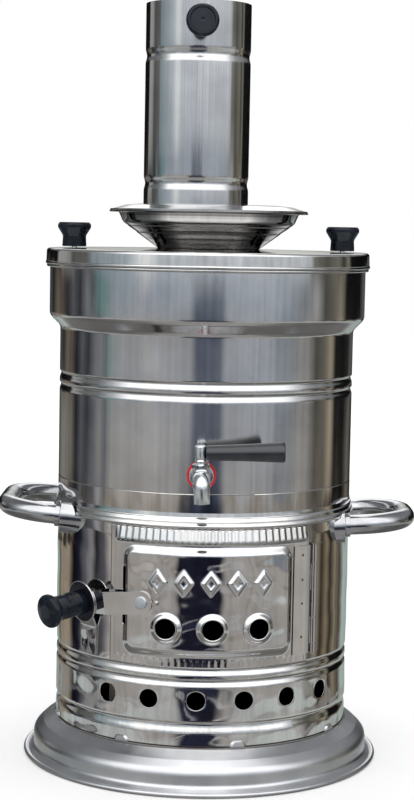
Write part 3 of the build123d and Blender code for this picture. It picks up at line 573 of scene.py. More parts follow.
def rivet_metal():
    """Aluminium rivet, pressed: pale and frosty, which spreads its highlight."""
    rivet = Finish("pressed_aluminium_rivet", Metallic=1.0)
    rivet.tint(rivet.noise(1500, 3), [(0.3, "#ccd3da"), (0.7, "#e0e5ea")], 0.35, 0.5)
    return rivet.material


def black_enamel():
    """Steel plate with baked black enamel: deep blue-black and half gloss, slightly uneven."""
    enamel = Finish("baked_black_enamel", IOR=1.5, Specular_IOR_Level=0.3)
    enamel.tint(enamel.noise(700), [(0.3, "#0a0c14"), (0.7, "#12151f")], 0.15, 0.3)
    return enamel.material


def sooty_steel():
    """Bare steel inside the fire chamber: dull, heat-stained brown to black."""
    steel = Finish("heat_stained_steel", Metallic=0.7)
    steel.tint(steel.noise(40, 6), [(0.3, "#1b1a19"), (0.5, "#3a342e"), (0.7, "#4e4842")], 0.45, 0.75)
    return steel.material


def weld_burn():
    """Spot weld: steel burnt brown and dull."""
    weld = Finish("spot_weld_burn", Metallic=0.8)
    weld.tint(weld.noise(900), [(0.35, "#5d3f2c"), (0.65, "#8a6a52")], 0.35, 0.55)
    return weld.material


POLISHED = polished_steel()
TUBE = drawn_steel()
SATIN = satin_steel()
DISH = painted_sheen_ring_steel()
SPUN = spun_aluminium()
BAKELITE = bakelite("moulded_bakelite", 0.28, 0.13)
GRIP = bakelite("glossy_bakelite", 0.95, 0.27)
RUBBER = red_rubber()
CHROME = chromed_brass()
FROSTED = rivet_metal()
ENAMEL = black_enamel()
SOOTY = sooty_steel()
BURNT = weld_burn()


# -------- placing pieces
def piece(name, body, finish, shape, replaces=(), closed=True, sharp=32.0):
    """Object from points in millimetres and faces: points a hair apart merged, faces of a closed
    shape turned outward, smooth but for edges sharper than an angle."""
    mesh = bpy.data.meshes.new(name)
    mesh.from_pydata((shape[0] * MM).tolist(), [], shape[1].tolist())
    work = bmesh.new()
    work.from_mesh(mesh)
    bmesh.ops.remove_doubles(work, verts=work.verts, dist=0.004 * MM)
    bmesh.ops.dissolve_degenerate(work, edges=work.edges, dist=0.002 * MM)
    if closed:
        bmesh.ops.recalc_face_normals(work, faces=work.faces)
    work.to_mesh(mesh)
    work.free()
    mesh.shade_smooth()
    mesh.set_sharp_from_angle(angle=math.radians(sharp))
    mesh.materials.append(finish)
    obj = bpy.data.objects.new(name, mesh)
    bpy.context.scene.collection.objects.link(obj)
    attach(obj, body)
    if replaces:
        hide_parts(*replaces)
    return obj


def sheet_piece(name, body, shape, replaces, wall=WALL):
    """Polished sheet from an open grid, with its thickness behind the faces and a sooty back."""
    obj = piece(name, body, POLISHED, shape, replaces, closed=False)
    obj.data.materials.append(SOOTY)
    solid = obj.modifiers.new("wall", "SOLIDIFY")
    solid.material_offset = 1
    solid.thickness = wall * MM
    solid.offset = -1.0
    solid.use_even_offset = False


# -------- foot
def foot():
    """Spun foot: the sheet's section and its rolled hem turned about Z, with faint waves of the
    spinning above the hem, and eight crimped lugs, each a rounded outline scaled from ring to ring."""
    hem = (FOOT_R - HEM_R, HEM_R - 0.1)
    corners = [hem, (FOOT_R - 8.7, 6.6), (FOOT_R - 7.9, 18.6), (FOOT_R - 15.8, 25.9),
               (BODY_R + 1.2, SEAT_Z - 2.2)]

    def relief(azimuth, z):
        return smooth((z - HEM_R) / 6) * hoop_dents(azimuth, 3 * z, FOOT_R, 0.05, 1.3)

    sheet = lathe(sheet_section(corners, [4.0, 9.0, 5.0], steps=12), relief=relief)
    roll = lathe(np.maximum(circle(hem, HEM_R, 28), 0))
    outline = rounded_ring([(-6.7, -2.5), (6.7, -2.5), (5.2, 2.5), (-5.2, 2.5)], [1.0, 1.0, 4.0, 4.0])
    rings = [np.c_[scale * outline, np.full(len(outline), rise)]
             for scale, rise in ((0, -1.5), (0.9, -1.5), (1, 0), (0.72, 1.4), (0, 1.6))]
    lug = np.concatenate(rings), quads(len(rings), len(outline), close_rows=False)
    lugs = [placed(lug, outward(azimuth, SEAT_Z + 1.6, BODY_R + 0.2)) for azimuth in LUG_AZ]
    piece("foot", "stove", SPUN, joined(sheet, roll, *lugs), ["base_foot"])


# -------- fire chamber
def chamber():
    """Rolled shell: a holed grid bent round the axis, with beads, air holes and the door's way."""
    cell = 1.5
    u = arc(DOOR_AZ[0], BODY_R) + arc(cell, BODY_R) * np.arange(round(360 / cell) + 1)
    vent_margin, way_margin = (12.6, 9.4), (15.4, 12.5)
    way_half = (arc(WAY_HALF_AZ, BODY_R) - WAY_BEND, WAY_HALF_Z - WAY_BEND)
    way_reach = way_half[1] + way_margin[1]
    v = lines(SEAT_Z - 2.8, (LOW_BEAD_Z - 8.2, 1.6), (LOW_BEAD_Z + 2, 0.6),
              (VENT_Z - vent_margin[1], 1.2), (VENT_Z + vent_margin[1], 1.5), (GRATE_BEAD_Z + 2, 0.6),
              (WAY_Z - way_reach, 1.0), (WAY_Z + way_reach, 2.0), (CHAMBER_TOP_Z, 2.0))
    lip = [(VENT_R + 0.5, 0.0), (VENT_R + 0.15, -0.12), (VENT_R, -0.4)]
    holes = []
    for azimuth in VENT_AZ:
        azimuth += 360 * (azimuth < DOOR_AZ[0])
        holes.append(((arc(azimuth, BODY_R), VENT_Z), (0, 0), vent_margin, lip))
    holes.append(((arc(WAY_AZ, BODY_R), WAY_Z), way_half, way_margin, [(WAY_BEND + 1, 0), (WAY_BEND, 0)]))

    def relief(u, v):
        azimuth = np.degrees(u / BODY_R)
        beads = hollow(v, GRATE_BEAD_Z - BEAD_PITCH) + hollow(v, GRATE_BEAD_Z)
        beads = beads + hollow(v, LOW_BEAD_Z, 1.6, 1.7, 8.0)
        fade = smooth((v - SEAT_Z) / 10) * smooth((WAIST_Z - v) / 8)
        size = 0.13 - 0.08 * smooth((80 - from_back(azimuth)) / 50)
        return beads + fade * (hoop_dents(azimuth, v, BODY_R, size) + seam(azimuth, BODY_R))

    shape = wrapped(holed(u, v, holes), BODY_R, relief)
    sheet_piece("chamber_shell", "stove", shape, ["fire_chamber_shell"])


def waist():
    """Ring over the seam: two beads stepped inward and a cove up to the tank, turned about Z."""
    inside = BODY_R + 0.05
    step = (WAIST_TOP_Z - WAIST_Z) / 3
    face = [(0.5, 0), (0, 1.4), (1.0, step - 0.1), (1.7, step), (1.1, step + 0.7), (2.0, 2 * step - 0.2),
            (2.7, 2 * step + 0.4)]
    corners = [(inside, WAIST_Z), *((WAIST_R - depth, WAIST_Z + rise) for depth, rise in face),
               (inside + 0.45, WAIST_TOP_Z), (inside, WAIST_TOP_Z)]
    section = rounded_ring(corners, [0, 0.8, 1.6, 0.5, 0.15, 0.7, 1.2, 1.2, 0, 0], 7)
    piece("waist_ring_rolled", "stove", POLISHED, lathe(section), ["waist_ring"])


# -------- fire door
def door_relief(u, v):
    """Height of the door's sheet: pressed pillow, fluted edges, five pressed lozenges, waves."""
    left, right = (arc(azimuth, DOOR_R) for azimuth in PILLOW_AZ)
    bottom, top = DOOR_Z + PILLOW_LOW, DOOR_TOP_Z - PILLOW_HIGH
    half = ((right - left) / 2, (top - bottom) / 2)
    inside = -box_distance(u - (left + right) / 2, v - (bottom + top) / 2, half, 10.0)
    pillow = 3.0 * smooth((inside + 0.8) / 6.6)
    flutes = (0.42 + 0.12 * np.sin(u / 7.3)) * np.cos(math.tau * u / 5.4 + 1.1 * np.sin(u / 17))
    upper = smooth((v - (DOOR_TOP_Z - 13.0)) / 4.5) * smooth((DOOR_TOP_Z + 0.5 - v) / 1.0)
    roll = smooth((v - (DOOR_TOP_Z - 12.5)) / 3.2) * (DOOR_TOP_Z - v + 0.5 * np.sin(u / 4.1)) / 4.6
    lower = smooth((DOOR_Z + 7.5 - v) / 2.5)
    first, last = (arc(azimuth, DOOR_R) for azimuth in DOOR_AZ)
    ends = smooth((u - first - 4) / 4) * smooth((last - 2 - u) / 4)
    ridge = (flutes * (upper + 0.22 * lower) + roll) * ends
    lozenges = 0.0
    for azimuth in LOZENGE_AZ:
        side = 1 - (np.abs(u - arc(azimuth, DOOR_R)) / 8.2 + np.abs(v - LOZENGE_Z) / 11.5)
        lozenges = lozenges + 1.5 * smooth(side / 0.42) - 0.7 * smooth((side - 0.5) / 0.25)
    return pillow + ridge + lozenges + dents(u + 40, 1.3 * v - 15, 0.12) * smooth(inside / 8 + 0.6)


def door():
    """Door sheet: a holed grid bent round the axis, with flared eyes and the latch's slot."""
    first, last = (arc(azimuth, DOOR_R) for azimuth in DOOR_AZ)
    eye = [(12.4, 0.0), (12.0, 0.1), (11.5, 0.4), (10.7, 1.1), (9.9, 1.8), (9.1, 2.3), (8.4, 2.5),
           (7.9, 2.35), (7.5, 1.7), (7.3, 0.6), (7.25, -1.4)]
    holes = [((arc(azimuth, DOOR_R), PEEP_Z), (0, 0), (14.3, 14.3), eye) for azimuth in PEEP_AZ]
    slot_at = (arc(SLOT_AZ, DOOR_R), (SLOT_Z[0] + SLOT_Z[1]) / 2)
    slot_half = (0, (SLOT_Z[1] - SLOT_Z[0]) / 2 - SLOT_HALF)
    slot_lip = [(SLOT_HALF + 0.4, 0), (SLOT_HALF + 0.1, -0.2), (SLOT_HALF, -0.5)]
    holes.append((slot_at, slot_half, (4.0, 4.0), slot_lip))
    flat = holed(lines(first, (last, 0.75)), lines(DOOR_Z, (DOOR_TOP_Z, 0.75)), holes)
    sheet_piece("door_sheet", "door", wrapped(flat, DOOR_R, door_relief), ["fire_door"])


def hinge_welds():
    """Spot welds on the hinge strip: shallow domes, z = 0.28 (1 - (r / 1.1)^2)."""
    r = np.array([1.1, 0.9, 0.6, 0.3, 0.0])
    dome = lathe([(0, -0.3), (r[0], -0.3), *zip(r, 0.28 * (1 - (r / r[0]) ** 2))], 20, solid=True)
    spots = [placed(dome, outward(HINGE_AZ, z, BODY_R + 2.05)) for z in WELD_Z]
    piece("hinge_welds", "door", BURNT, joined(*spots))


# -------- latch
RIVET = outward(RIVET_AZ, LATCH_Z)
FOLD = shift(-FOLD_REACH, 0, ARM_FACE - ARM_WALL) @ turn(-FOLD_TURN, "Y") @ turn(FOLD_TWIST, "X")
# Outer face of the arm's bent tail, on the knob's axis.
TAIL = RIVET @ turn(ARM_DROOP, "Z") @ FOLD @ shift(-KNOB_REACH, 0, ARM_WALL)


def latch():
    """Rivet head, washer with its bare rim, and the ringed knob, all turned about their axes."""
    head = peg([(0, ARM_FACE - 2), (5.0, ARM_FACE - 2), (5.0, ARM_FACE + 1.5), (0, ARM_FACE + 1.7)],
               [0, 0.6], 5, 48)
    piece("latch_rivet_head", "door", FROSTED, placed(head, RIVET), ["latch_rivet"])
    face = peg([(0, 0.05), (16.0, 0.05), (16.0, 1.25), (0, 1.25)], [0.3, 0.3], 4, 96)
    piece("latch_washer_face", "latch", ENAMEL, placed(face, TAIL), ["latch_washer"])
    rim = hoop(15.9, 16.5, 0.05, 1.2, [0.2, 0.25, 0.25, 0.2], 4, 96)
    piece("latch_washer_rim", "latch", POLISHED, placed(rim, TAIL))
    knob = peg([(0, 1.3), (9.7, 1.3), (9.9, 12.4), (9.4, 13.0), (9.9, 13.6), (9.7, 20.4), (9.2, 21.0),
                (9.7, 21.6), (10.2, 27.0), (13.2, 31.2), (13.3, 35.0), (6.0, 36.9), (0, 37.0)],
               [0.8, *[0.3] * 6, 5.0, 1.2, 2.6, 6.0], 5, 72)
    piece("latch_knob_turned", "latch", BAKELITE, placed(knob, TAIL), ["latch_knob"])


def catch():
    """Catch plate: a grid bent round the axis, whose top leans out by x + sqrt(x^2 + k), with x the
    height above its fold, and a dimple pressed in by a bell curve."""
    first, last = (arc(azimuth, CATCH_R) for azimuth in CATCH_AZ)

    def relief(u, v):
        x = v - (CATCH_TOP_Z - 9)
        bell = np.exp(-(((u - first - 5) / 3.2) ** 2 + ((v - CATCH_Z - 9) / 5.5) ** 2))
        return 0.22 * (x + np.sqrt(x * x + 0.3)) - 0.7 * bell + dents(3 * u, 3 * v, 0.05)

    flat = holed(lines(first, (last, 0.5)), lines(CATCH_Z, (CATCH_TOP_Z, 0.5)), [])
    shape = wrapped(flat, CATCH_R, relief)
    sheet_piece("latch_catch_plate", "stove", shape, ["latch_catch"], CATCH_WALL)


# -------- tank
def tank():
    """Tank wall: beads, shoulder, wider mouth, the lid's bead and the inner neck, turned about Z,
    and the polished skirt below the lap."""
    beads = [point for z in (TANK_BEAD_Z - BEAD_PITCH, TANK_BEAD_Z)
             for point in bead_points(BODY_R, z, (8, 4))]
    wall = [(BODY_R - 0.3, LAP_Z - 3), (BODY_R - 0.3, LAP_Z + 0.1), (BODY_R, LAP_Z + 0.5),
            (BODY_R, TANK_BEAD_Z - BEAD_PITCH - BEAD_BELOW - 1), *beads,
            (BODY_R, TANK_BEAD_Z + BEAD_ABOVE + 1), (BODY_R, SHOULDER_Z), (MOUTH_R, MOUTH_Z),
            (MOUTH_R, RIM_Z - 2.4), (MOUTH_R - 1.4, RIM_Z - 1.2), (MOUTH_R - 1.4, TANK_TOP_Z)]
    section = sheet_section(wall, [0.0] * (len(wall) - 6) + [6.0, 7.0, 0.9, 0.9], steps=10)

    def relief(azimuth, z):
        fade = smooth((MOUTH_Z + 20 - z) / 20)
        waves = hoop_dents(azimuth, 0.5 * z, BODY_R, 0.045, 1.4)
        return fade * (waves + seam(azimuth, BODY_R))

    def skirt_relief(azimuth, z):
        return relief(azimuth, 2 * z)

    bead = hoop(MOUTH_R - 1.5, RIM_R, RIM_Z - 2.4, RIM_Z - 0.02, [0, 1.0, 1.0, 0])
    piece("tank_wall", "stove", SATIN, joined(lathe(section, relief=relief), bead),
          ["tank_shell"])
    skirt = [*((BODY_R + 0.1, z) for z in np.linspace(TANK_Z, LAP_Z - 0.6, 12)),
             (BODY_R + 0.1, LAP_Z - 0.3), (BODY_R - 0.1, LAP_Z)]
    skirt = sheet_section(skirt, [0.0] * (len(skirt) - 2), 0.5)
    piece("tank_skirt", "stove", POLISHED, lathe(skirt, relief=skirt_relief))


# -------- lid, stand and chimney
def lid():
    """Lid: top and skirt with a rolled lip, turned about Z."""
    lip = hoop(LIP_R - 2.7, LIP_R, RIM_Z, RIM_Z + 2.6, [0, 0.8, 1.2, 0])
    corners = [(LIP_R - 0.5, RIM_Z + 1.4), (LIP_R - 0.9, LID_Z - 1.3), (48.0, LID_Z), (36.0, LID_Z)]

    def relief(azimuth, z):
        return hoop_dents(azimuth, 4 * z, LIP_R, 0.05, 1.5)

    cover = lathe(sheet_section(corners, [2.6, 20.0], steps=12), relief=relief)
    piece("lid_cover", "lid", POLISHED, joined(cover, lip), ["lid"])


def flared_knob(radius, top, height):
    """Flared knob: a waisted foot, a brim, and a sunk disc with a dimple in its end."""
    return peg([(0, 0), (radius, 0), (radius - 0.5, 0.44 * height), (top, 0.78 * height),
                (top, 0.9 * height), (top - 1.3, height), (0.78 * top, height),
                (0.72 * top, height - 0.9), (1.9, height - 0.7), (0.6, height - 1.3), (0, height - 1.3)],
               [0.5, 4.0, 1.2, 0.9, 0.9, 0.6, 0.8, 0.6, 0.4], 7, 72)


def lid_knobs():
    for name, x in (("left", -LID_KNOB_X), ("right", LID_KNOB_X)):
        piece(f"knob_{name}", "lid", BAKELITE,
              placed(flared_knob(9.9, 13.5, 19.6), shift(x, 0, LID_Z)), [f"lid_knob_{name}"])


def stand():
    """Bowl with a rolled rim, and the domed deck on it, turned about Z."""
    roll = 0.9
    roll_z = DISH_TOP_Z - roll
    flange_z = roll_z - WALL
    seat_r, cone_r, cone_rise = 41.5, 28.5, 20.6
    steps = [(seat_r + cone_r * t - 0.2 * (k % 2), LID_Z + cone_rise * t + 0.2 * (k % 2))
             for k, t in enumerate((0.58, 0.62, 0.84, 0.87))]
    bowl = sheet_section([(seat_r - 2, LID_Z), (seat_r, LID_Z), *steps,
                          (seat_r + cone_r, LID_Z + cone_rise), (73.6, flange_z),
                          (DISH_R - roll, flange_z)], [1.5, *[1.2] * len(steps), 8.0, 1.4])
    hem = lathe(circle((DISH_R - roll, roll_z), roll, 20))
    piece("stand_bowl", "stand", DISH, joined(lathe(bowl), hem), ["stand_dish"])
    edge_r, dome_r = DISH_R - roll + 0.2, 56.0
    edge_z = DECK_EDGE_Z + WALL
    deck = sheet_section([(edge_r, edge_z), (edge_r - 1.5, edge_z), ((edge_r + dome_r) / 2, DECK_Z - 1.1),
                          (dome_r, DECK_Z), (30.5, DECK_Z)], [1.0, 12.0, 12.0], steps=8)
    piece("stand_deck_plate", "stand", SATIN, lathe(deck), ["stand_deck"])


def chimney():
    """Pipe with two wide beads, turned about its own axis, a lapped seam down its back, and its
    knob, which leans up a little."""
    beads = [point for z in CHIMNEY_BEAD_Z
             for point in bead_points(CHIMNEY_R, z, (6, 6), *CHIMNEY_BEAD)]
    wall = [(CHIMNEY_R, DECK_Z), *beads, (CHIMNEY_R, CHIMNEY_TOP_Z)]
    section = sheet_section(wall, [0.0] * (len(wall) - 2))

    def relief(azimuth, z):
        fade = smooth((z - DECK_Z) / 8) * smooth((CHIMNEY_TOP_Z - z) / 8)
        waves = dents(CHIMNEY_R * np.sin(np.radians(azimuth)) + 30, 0.3 * z, 0.03, 0.8)
        return fade * (waves + seam(azimuth, CHIMNEY_R, 3.5))

    axis = shift(CHIMNEY_X, 0, 0)
    piece("chimney_wall", "chimney", SATIN,
          placed(lathe(section, 160, relief=relief), axis), ["chimney_pipe"])
    at = axis @ outward(CHIMNEY_KNOB_AZ, CHIMNEY_KNOB_Z, CHIMNEY_R) @ turn(-CHIMNEY_KNOB_TILT, "X")
    piece("chimney_knob_turned", "chimney", BAKELITE,
          placed(flared_knob(9.1, 13.0, 22.0), at), ["chimney_knob"])


# -------- handles
def handles():
    """Tube loops: a round bar along two legs and a far side, with wide bends, each loop turned up
    about the body's side."""
    inside = 0.82 * BODY_R
    for name, facing in (("left", 180), ("right", 0)):
        far = BODY_R + HANDLE_REACH[name] - HANDLE_R
        half = span(f"handle_{name}", "y")[1] - HANDLE_R
        corners = [(inside, -half, 0), (far, -half, 0), (far, half, 0), (inside, half, 0)]
        bar = tube(rounded(corners, [HANDLE_BEND, HANDLE_BEND], 24), HANDLE_R, (0, 0, 1), 40)
        place = shift(BODY_R, 0, CHAMBER_TOP_Z - HANDLE_DROP[name]) @ turn(-HANDLE_TILT[name], "Y")
        place = turn(facing, "Z") @ place @ shift(-BODY_R, 0, 0)
        piece(f"handle_{name}_tube", "stove", TUBE, placed(bar, place), [f"handle_{name}"])


# -------- tap
# The tap's foot on the wall, its shank with local z out of the wall, and its key with local z up.
TAP = shift(TAP_X, -TAP_WALL_Y, TAP_Z) @ turn(-TAP_LEAN, "Y")
SHANK = TAP @ turn(90, "X")
KEY = TAP @ shift(0, -KEY_REACH, 0)


def hexagon(across, start, end, bevel=0.6):
    """Six-sided nut: rings whose radius is half the width over cos of the angle from the nearest
    flat, cut back by the bevel at both ends."""
    a = round_angles(72)
    flat = across / 2
    reach = flat / np.cos((a + math.pi / 6) % (math.pi / 3) - math.pi / 6)
    rows = [(0, start), (flat - 0.2, start), (across, start + bevel), (across, end - bevel),
            (flat - 0.2, end), (0, end)]
    points = [np.stack([np.minimum(r, reach) * np.sin(a), -np.minimum(r, reach) * np.cos(a), z + 0 * a], -1)
              for r, z in rows]
    return np.concatenate(points), quads(len(rows), len(a), close_rows=False)


def spout():
    """Tube out of the key's barrel and down, swollen along its run and turned in at its mouth."""
    path = rounded([(0, -KEY_REACH, 0), (0, -SPOUT_REACH, 0), (0, -SPOUT_REACH, -SPOUT_DROP)], [8.0], 16)
    # The mouth turns back up inside, so its rings' directions come from points straight on down.
    mouth, onward = ([(0, -SPOUT_REACH, -SPOUT_DROP - drop) for drop in drops]
                     for drops in ((0.25, 0.3, 0.3, -7.6), (0.3, 0.4, 0.5, 0.6)))
    swell = np.interp(np.arange(len(path)), [0, 1, len(path) - 6, len(path) - 1], [6.2, 6.6, 6.7, 6.0])
    radii = np.r_[swell, 5.9, 5.6, 4.0, 4.0]
    return tube(np.r_[path, mouth], radii, (1, 0, 0), 48, np.r_[path, onward])


def tap():
    """Gasket, washer and casting along the shank, and the bonnet, cap and lever about the key. The
    casting is the shank, its ringed barrel, the key's barrel and the spout."""
    gasket = hoop(5.2, 11.3, -1.0, 2.2, [0, 0, 0.8, 0], 6, 96)
    piece("tap_gasket", "stove", RUBBER, placed(gasket, SHANK), ["tap_gasket_outer"])
    barrel = peg([(0, 3.4), (6.2, 3.4), (6.5, 6.0), (5.6, 8.0), (5.6, 10.0), (6.5, 11.5), (6.5, 19.0),
                  (0, 20.5)], [0.3, 1.0, 1.0, 1.0, 1.0, 2.0], 6, 64)
    shank = peg([(0, -13.9), (4.95, -13.9), (4.95, 3.5), (0, 3.5)], [0.4, 0], 4, 48)
    key = peg([(0, -6.5), (5.4, -6.5), (6.4, -5.2), (6.4, 5.6), (5.9, 7.0), (0, 7.0)],
              [0.8, 0.8, 0.8, 0.5], 6, 64)
    collar = hoop(6.2, 6.9, -1.2, 1.2, [0, 0.5, 0.5, 0], 5, 64)
    casting = joined(placed(barrel, SHANK), placed(shank, SHANK), placed(key, KEY), placed(spout(), TAP),
                     placed(collar, SHANK @ shift(0, 0, COLLAR_REACH)))
    piece("tap_casting", "stove", CHROME, casting, ["tap_body"])
    washer = hoop(5.05, 9.4, 2.2, 3.6, [0, 0.2, 0.6, 0], 5, 72)
    piece("tap_washer", "stove", CHROME, placed(washer, SHANK), ["tap_flange"])
    piece("tap_bonnet", "stove", CHROME, placed(hexagon(11.8, 7.0, 11.0), KEY),
          ["tap_gland_nut"], sharp=25)
    cap = peg([(0, 11.4), (4.25, 11.4), (4.25, 13.0), (3.7, 14.2), (4.25, 15.6), (4.25, 25.0),
               (0, 25.0)], [0.3, 0.4, 0.6, 0.6, 1.3], 6, 56)
    piece("tap_stem_cap", "tap_key", CHROME, placed(cap, KEY), ["tap_cap"])
    lever = peg([(0, 4.3), (5.6, 4.3), (5.75, 7.0), (6.5, 34.0), (7.8, 62.0), (7.4, 64.0), (0, 64.2)],
                [0.9, 3.0, 30.0, 2.0, 1.2], 8, 64)
    at = KEY @ shift(0, 0, LEVER_Z) @ turn(LEVER_TURN, "Y")
    piece("tap_lever_grip", "tap_key", GRIP, placed(lever, at), ["tap_lever"])


foot()
chamber()
waist()
door()
hinge_welds()
latch()
catch()
tank()
lid()
lid_knobs()
stand()
chimney()
handles()
tap()

# CAD nodes that are shown as they are, each in its own finish.
KEPT = {
    POLISHED: ["body_hinge_leaf", "door_hinge_leaf", "latch_arm", "latch_stop"],
    TUBE: [f"handle_socket_{side}_{end}" for side in ("left", "right") for end in ("front", "rear")],
    SATIN: ["door_hinge_pin", "latch_screw", "lid_knob_screws", "chimney_knob_screw", "tank_floor",
            "flue_tube"],
    SOOTY: ["base_plate", "ash_tray", "fire_grate"],
    CHROME: ["tap_back_nut", "tap_plug"],
    RUBBER: ["tap_gasket_inner"],
}
for finish, nodes in KEPT.items():
    for node in nodes:
        NODES[node].data.materials.clear()
        NODES[node].data.materials.append(finish)


# -------- surroundings
# What the metal reflects, from the ground up: colours by azimuth, round to the first one again.
YARD = {
    "under": {
        -180: "#7d7b78", -110: "#6c6a68", -62: "#7c7a78", -44: "#a09e9b", 0: "#a5a3a1", 44: "#a09e9b",
        62: "#807e7b", 110: "#6c6a68"},
    "shore": {
        -180: "#a7b0ae", -156: "#b2bbba", -146: "#8f8a7e", -136: "#b9c0be", -100: "#b5bab9", -60: "#bcc1c0",
        -20: "#b4b5b4", -14: "#2c2e40", 17: "#26283a", 22: "#b2b3b2", 60: "#c2c8c6", 120: "#b8bebc",
        148: "#a8b0ae"},
    "near": {
        -180: "#9aa7a1", -158: "#95a49e", -153: "#5c564c", -148: "#8f8675", -130: "#9a8f7e",
        -125: "#6b6052", -121: "#101016", -112: "#1d1e2a", -104: "#62626a", -98: "#8d8b8c", -93: "#26262c",
        -84: "#5c5b62", -77: "#a6a29e", -22: "#aaa6a3", -17: "#1c1d2b", 13: "#191a28", 18: "#a4a09d",
        70: "#a8a49f", 88: "#b4b2ae", 94: "#57524b", 100: "#8f8676", 106: "#2a241e", 113: "#8a7c68",
        120: "#33302c", 128: "#8b8270", 138: "#4a4036", 148: "#a7b4ae"},
    "kerb": {
        -180: "#a3a8a6", -130: "#8f8d8a", -121: "#55545a", -100: "#8a8a8a", -80: "#b0b0af", -14: "#b4b4b4",
        -8: "#8a8a92", 8: "#84848c", 14: "#b2b2b2", 84: "#b0b0af", 106: "#7a7874", 128: "#9a9894"},
    "path": {
        -180: "#4a4744", -121: "#2a2826", -100: "#5a5650", -84: "#8a847c", -22: "#9a948c", -17: "#20222e",
        13: "#1e202c", 18: "#98928a", 84: "#8c867e", 100: "#55504a", 121: "#2a2826"},
    "far": {
        -180: "#2e3032", -164: "#4a4a4a", -150: "#8a8680", -130: "#7d7872", -121: "#1d1e24",
        -113: "#5d5f64", -106: "#34363e", -96: "#5f626a", -91: "#a5a4a4", -84: "#6f6f74", -76: "#b0aba6",
        -30: "#b6b2ae", -12: "#b0adaa", -8: "#4a5366", 10: "#525a6c", 15: "#a4a4a6", 35: "#b4b6b9",
        52: "#a6abb0", 58: "#7d838c", 68: "#8a8f96", 75: "#a5a29c", 88: "#77736e", 96: "#54504a",
        106: "#6f6a60", 114: "#b9ad97", 121: "#1b1816", 138: "#161618", 150: "#6a655c", 164: "#2a2b2d"},
    "walls": {
        -180: "#26282b", -158: "#46484a", -150: "#1c1c1f", -138: "#6d6258", -130: "#4a3d37",
        -121: "#101115", -112: "#54575c", -104: "#2c2e33", -96: "#83878c", -90: "#3d4044", -84: "#5f8686",
        -75: "#6b8f8e", -71: "#98a3ae", -44: "#98a2ae", -12: "#a4aebb", -8: "#525b6a", 10: "#596373",
        14: "#98a2af", 40: "#a4aebc", 60: "#98a1ac", 76: "#85898e", 86: "#b5b6b4", 94: "#55534f",
        104: "#6c6860", 112: "#948a7a", 120: "#141416", 146: "#101012", 158: "#5b5b5a"},
    "haze": {
        -180: "#c8cac5", -174: "#b0b2ad", -171: "#0c0c0e", -133: "#101012", -130: "#a8a8a6",
        -114: "#8f8f8c", -110: "#565654", -93: "#666664", -88: "#8c989e", -76: "#9aa6ac", -58: "#aab5bc",
        -44: "#f0f2f2", -33: "#bfc6cd", 0: "#c8cdd3", 20: "#cdd2d8", 50: "#c4c9ce", 70: "#c8cdd2",
        77: "#bcc0c4", 80: "#7c7a74", 92: "#55534c", 104: "#77756b", 111: "#3c3a35", 117: "#7d7b72",
        121: "#101010", 171: "#0c0c0e", 174: "#b0b2ad"},
    "sky": {
        -180: "#ffffff", -168: "#f0f0f0", -156: "#626466", -120: "#5a5c5e", -96: "#646668", -80: "#9c9ea0",
        -64: "#ffffff", 64: "#ffffff", 80: "#b0b2b4", 96: "#7c7e80", 126: "#6a6b6d", 156: "#626466",
        168: "#f0f0f0"},
}
# Where each band takes over from the one below it: z of the direction, from the first to the second.
EDGES = [
    ("shore", -0.44, -0.33), ("near", -0.262, -0.252), ("kerb", -0.249, -0.245), ("near", -0.235, -0.231),
    ("path", -0.16, -0.155), ("far", -0.146, -0.141), ("walls", -0.09, -0.075), ("haze", -0.01, 0.01),
    ("sky", 0.14, 0.3)]


def bare_tree(owner):
    """Empty node tree of a world or a material."""
    owner.use_nodes = True
    owner.node_tree.nodes.clear()
    return owner.node_tree


def reflected_ray(tree):
    """1 for a ray that polished or clear things send on, 0 for any other."""
    ray = add(tree, "ShaderNodeLightPath").outputs
    return reckon(tree, "MAXIMUM", ray["Is Glossy Ray"], ray["Is Transmission Ray"])


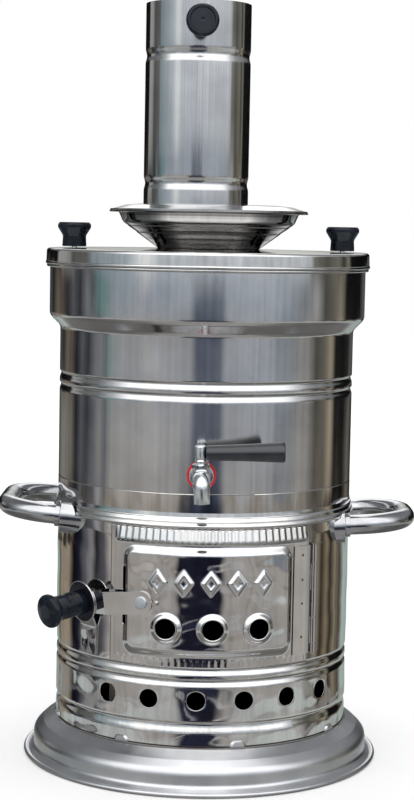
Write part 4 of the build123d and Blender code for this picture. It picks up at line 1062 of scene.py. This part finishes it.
def world():
    """Even white light for matt surfaces and white behind everything. Polished metal reflects an
    open yard: ground, kerb and path, a dark doorway, walls, haze and sky, each a ramp round the
    compass. The ramps are blended, along ragged lines, by how far up or down the reflection looks,
    and fine streaks round the compass stand for posts and leaves."""
    place = bpy.data.worlds.new("yard")
    bpy.context.scene.world = place
    tree = bare_tree(place)
    look = add(tree, "ShaderNodeTexCoord").outputs["Generated"]
    parts = add(tree, "ShaderNodeSeparateXYZ", Vector=look).outputs
    front = add(tree, "ShaderNodeMath", {"operation": "MULTIPLY", 1: -1.0}, i0=parts["Y"]).outputs[0]
    angle = reckon(tree, "ARCTAN2", parts["X"], front)
    full_turn = {"From Min": -math.pi, "From Max": math.pi}
    compass = add(tree, "ShaderNodeMapRange", full_turn, Value=angle).outputs[0]
    bands = {}
    for name, stops in YARD.items():
        stops = {**stops, 180: stops[-180]}.items()
        bands[name] = ramp(tree, compass, [((azimuth + 180) / 360, code) for azimuth, code in stops])

    spot = add(tree, "ShaderNodeCombineXYZ", X=compass, Y=parts["Z"]).outputs[0]
    ragged = spread(tree, noise(tree, spot, 1.0, 4, (30, 20, 1)), -0.012, 0.012)
    height = reckon(tree, "ADD", parts["Z"], ragged)
    seen = bands["under"]
    for name, start, end in EDGES:
        settings = {"From Min": start, "From Max": end, "interpolation_type": "SMOOTHSTEP"}
        fac = add(tree, "ShaderNodeMapRange", settings, Value=height).outputs["Result"]
        seen = add(tree, "ShaderNodeMix", {"data_type": "RGBA"}, i0=fac, i6=seen, i7=bands[name]).outputs[2]

    streaks = spread(tree, noise(tree, spot, 1.0, 4, (110, 3, 1)), 0.84, 1.16)
    brighter_up = spread(tree, parts["Z"], 1.0, 1.75, 0.08, 0.42)
    level = reckon(tree, "MULTIPLY", streaks, brighter_up)
    yard = add(tree, "ShaderNodeBackground", Color=seen, Strength=level).outputs[0]
    plain = add(tree, "ShaderNodeBackground", {"Color": (1, 1, 1, 1), "Strength": 1.0}).outputs[0]
    both = add(tree, "ShaderNodeMixShader", i0=reflected_ray(tree), i1=plain, i2=yard).outputs[0]
    add(tree, "ShaderNodeOutputWorld", Surface=both)


def ground():
    """Pale floor that keeps the samovar's soft shadow. Reflections look through it to the yard."""
    points = 6000.0 * np.array([(-1, -1, 0), (1, -1, 0), (1, 1, 0), (-1, 1, 0)])
    mesh = bpy.data.meshes.new("floor")
    mesh.from_pydata((points * MM).tolist(), [], [[0, 1, 2, 3]])
    mat = bpy.data.materials.new("pale_floor")
    tree = bare_tree(mat)
    coords = add(tree, "ShaderNodeTexCoord").outputs["Object"]
    tone = ramp(tree, noise(tree, coords, 6, 3), [(0.3, "#f4f4f4"), (0.7, "#f8f8f8")])
    matt = add(tree, "ShaderNodeBsdfDiffuse", Color=tone).outputs[0]
    glow = add(tree, "ShaderNodeEmission", {"Color": (1, 1, 1, 1), "Strength": 0.2}).outputs[0]
    lit = add(tree, "ShaderNodeAddShader", i0=matt, i1=glow).outputs[0]
    clear = add(tree, "ShaderNodeBsdfTransparent").outputs[0]
    both = add(tree, "ShaderNodeMixShader", i0=reflected_ray(tree), i1=lit, i2=clear).outputs[0]
    add(tree, "ShaderNodeOutputMaterial", Surface=both)
    mesh.materials.append(mat)
    obj = bpy.data.objects.new("floor", mesh)
    bpy.context.scene.collection.objects.link(obj)


def camera():
    """Camera in front, a little above the tank's shoulder, pitched down, with a slight roll. Its
    place is in metres."""
    yaw, pitch, roll = (math.radians(a) for a in (0.047, 5.301, 1.0718))
    place = Vector((0.0, -1.5586, 0.4368))
    ahead = Vector((math.sin(yaw) * math.cos(pitch), math.cos(yaw) * math.cos(pitch), -math.sin(pitch)))
    right = Vector((math.cos(yaw), -math.sin(yaw), 0))
    up = right.cross(ahead)
    x = math.cos(roll) * right + math.sin(roll) * up
    y = -math.sin(roll) * right + math.cos(roll) * up
    data = bpy.data.cameras.new("camera")
    data.lens = 85.446
    data.sensor_width = 36.0
    data.clip_end = 50.0
    obj = bpy.data.objects.new("camera", data)
    columns = (x, y, -ahead, place)
    obj.matrix_world = Matrix([*([column[k] for column in columns] for k in range(3)), [0, 0, 0, 1]])
    bpy.context.scene.collection.objects.link(obj)
    bpy.context.scene.camera = obj


world()
ground()
camera()
bpy.context.scene.view_settings.view_transform = "Standard"
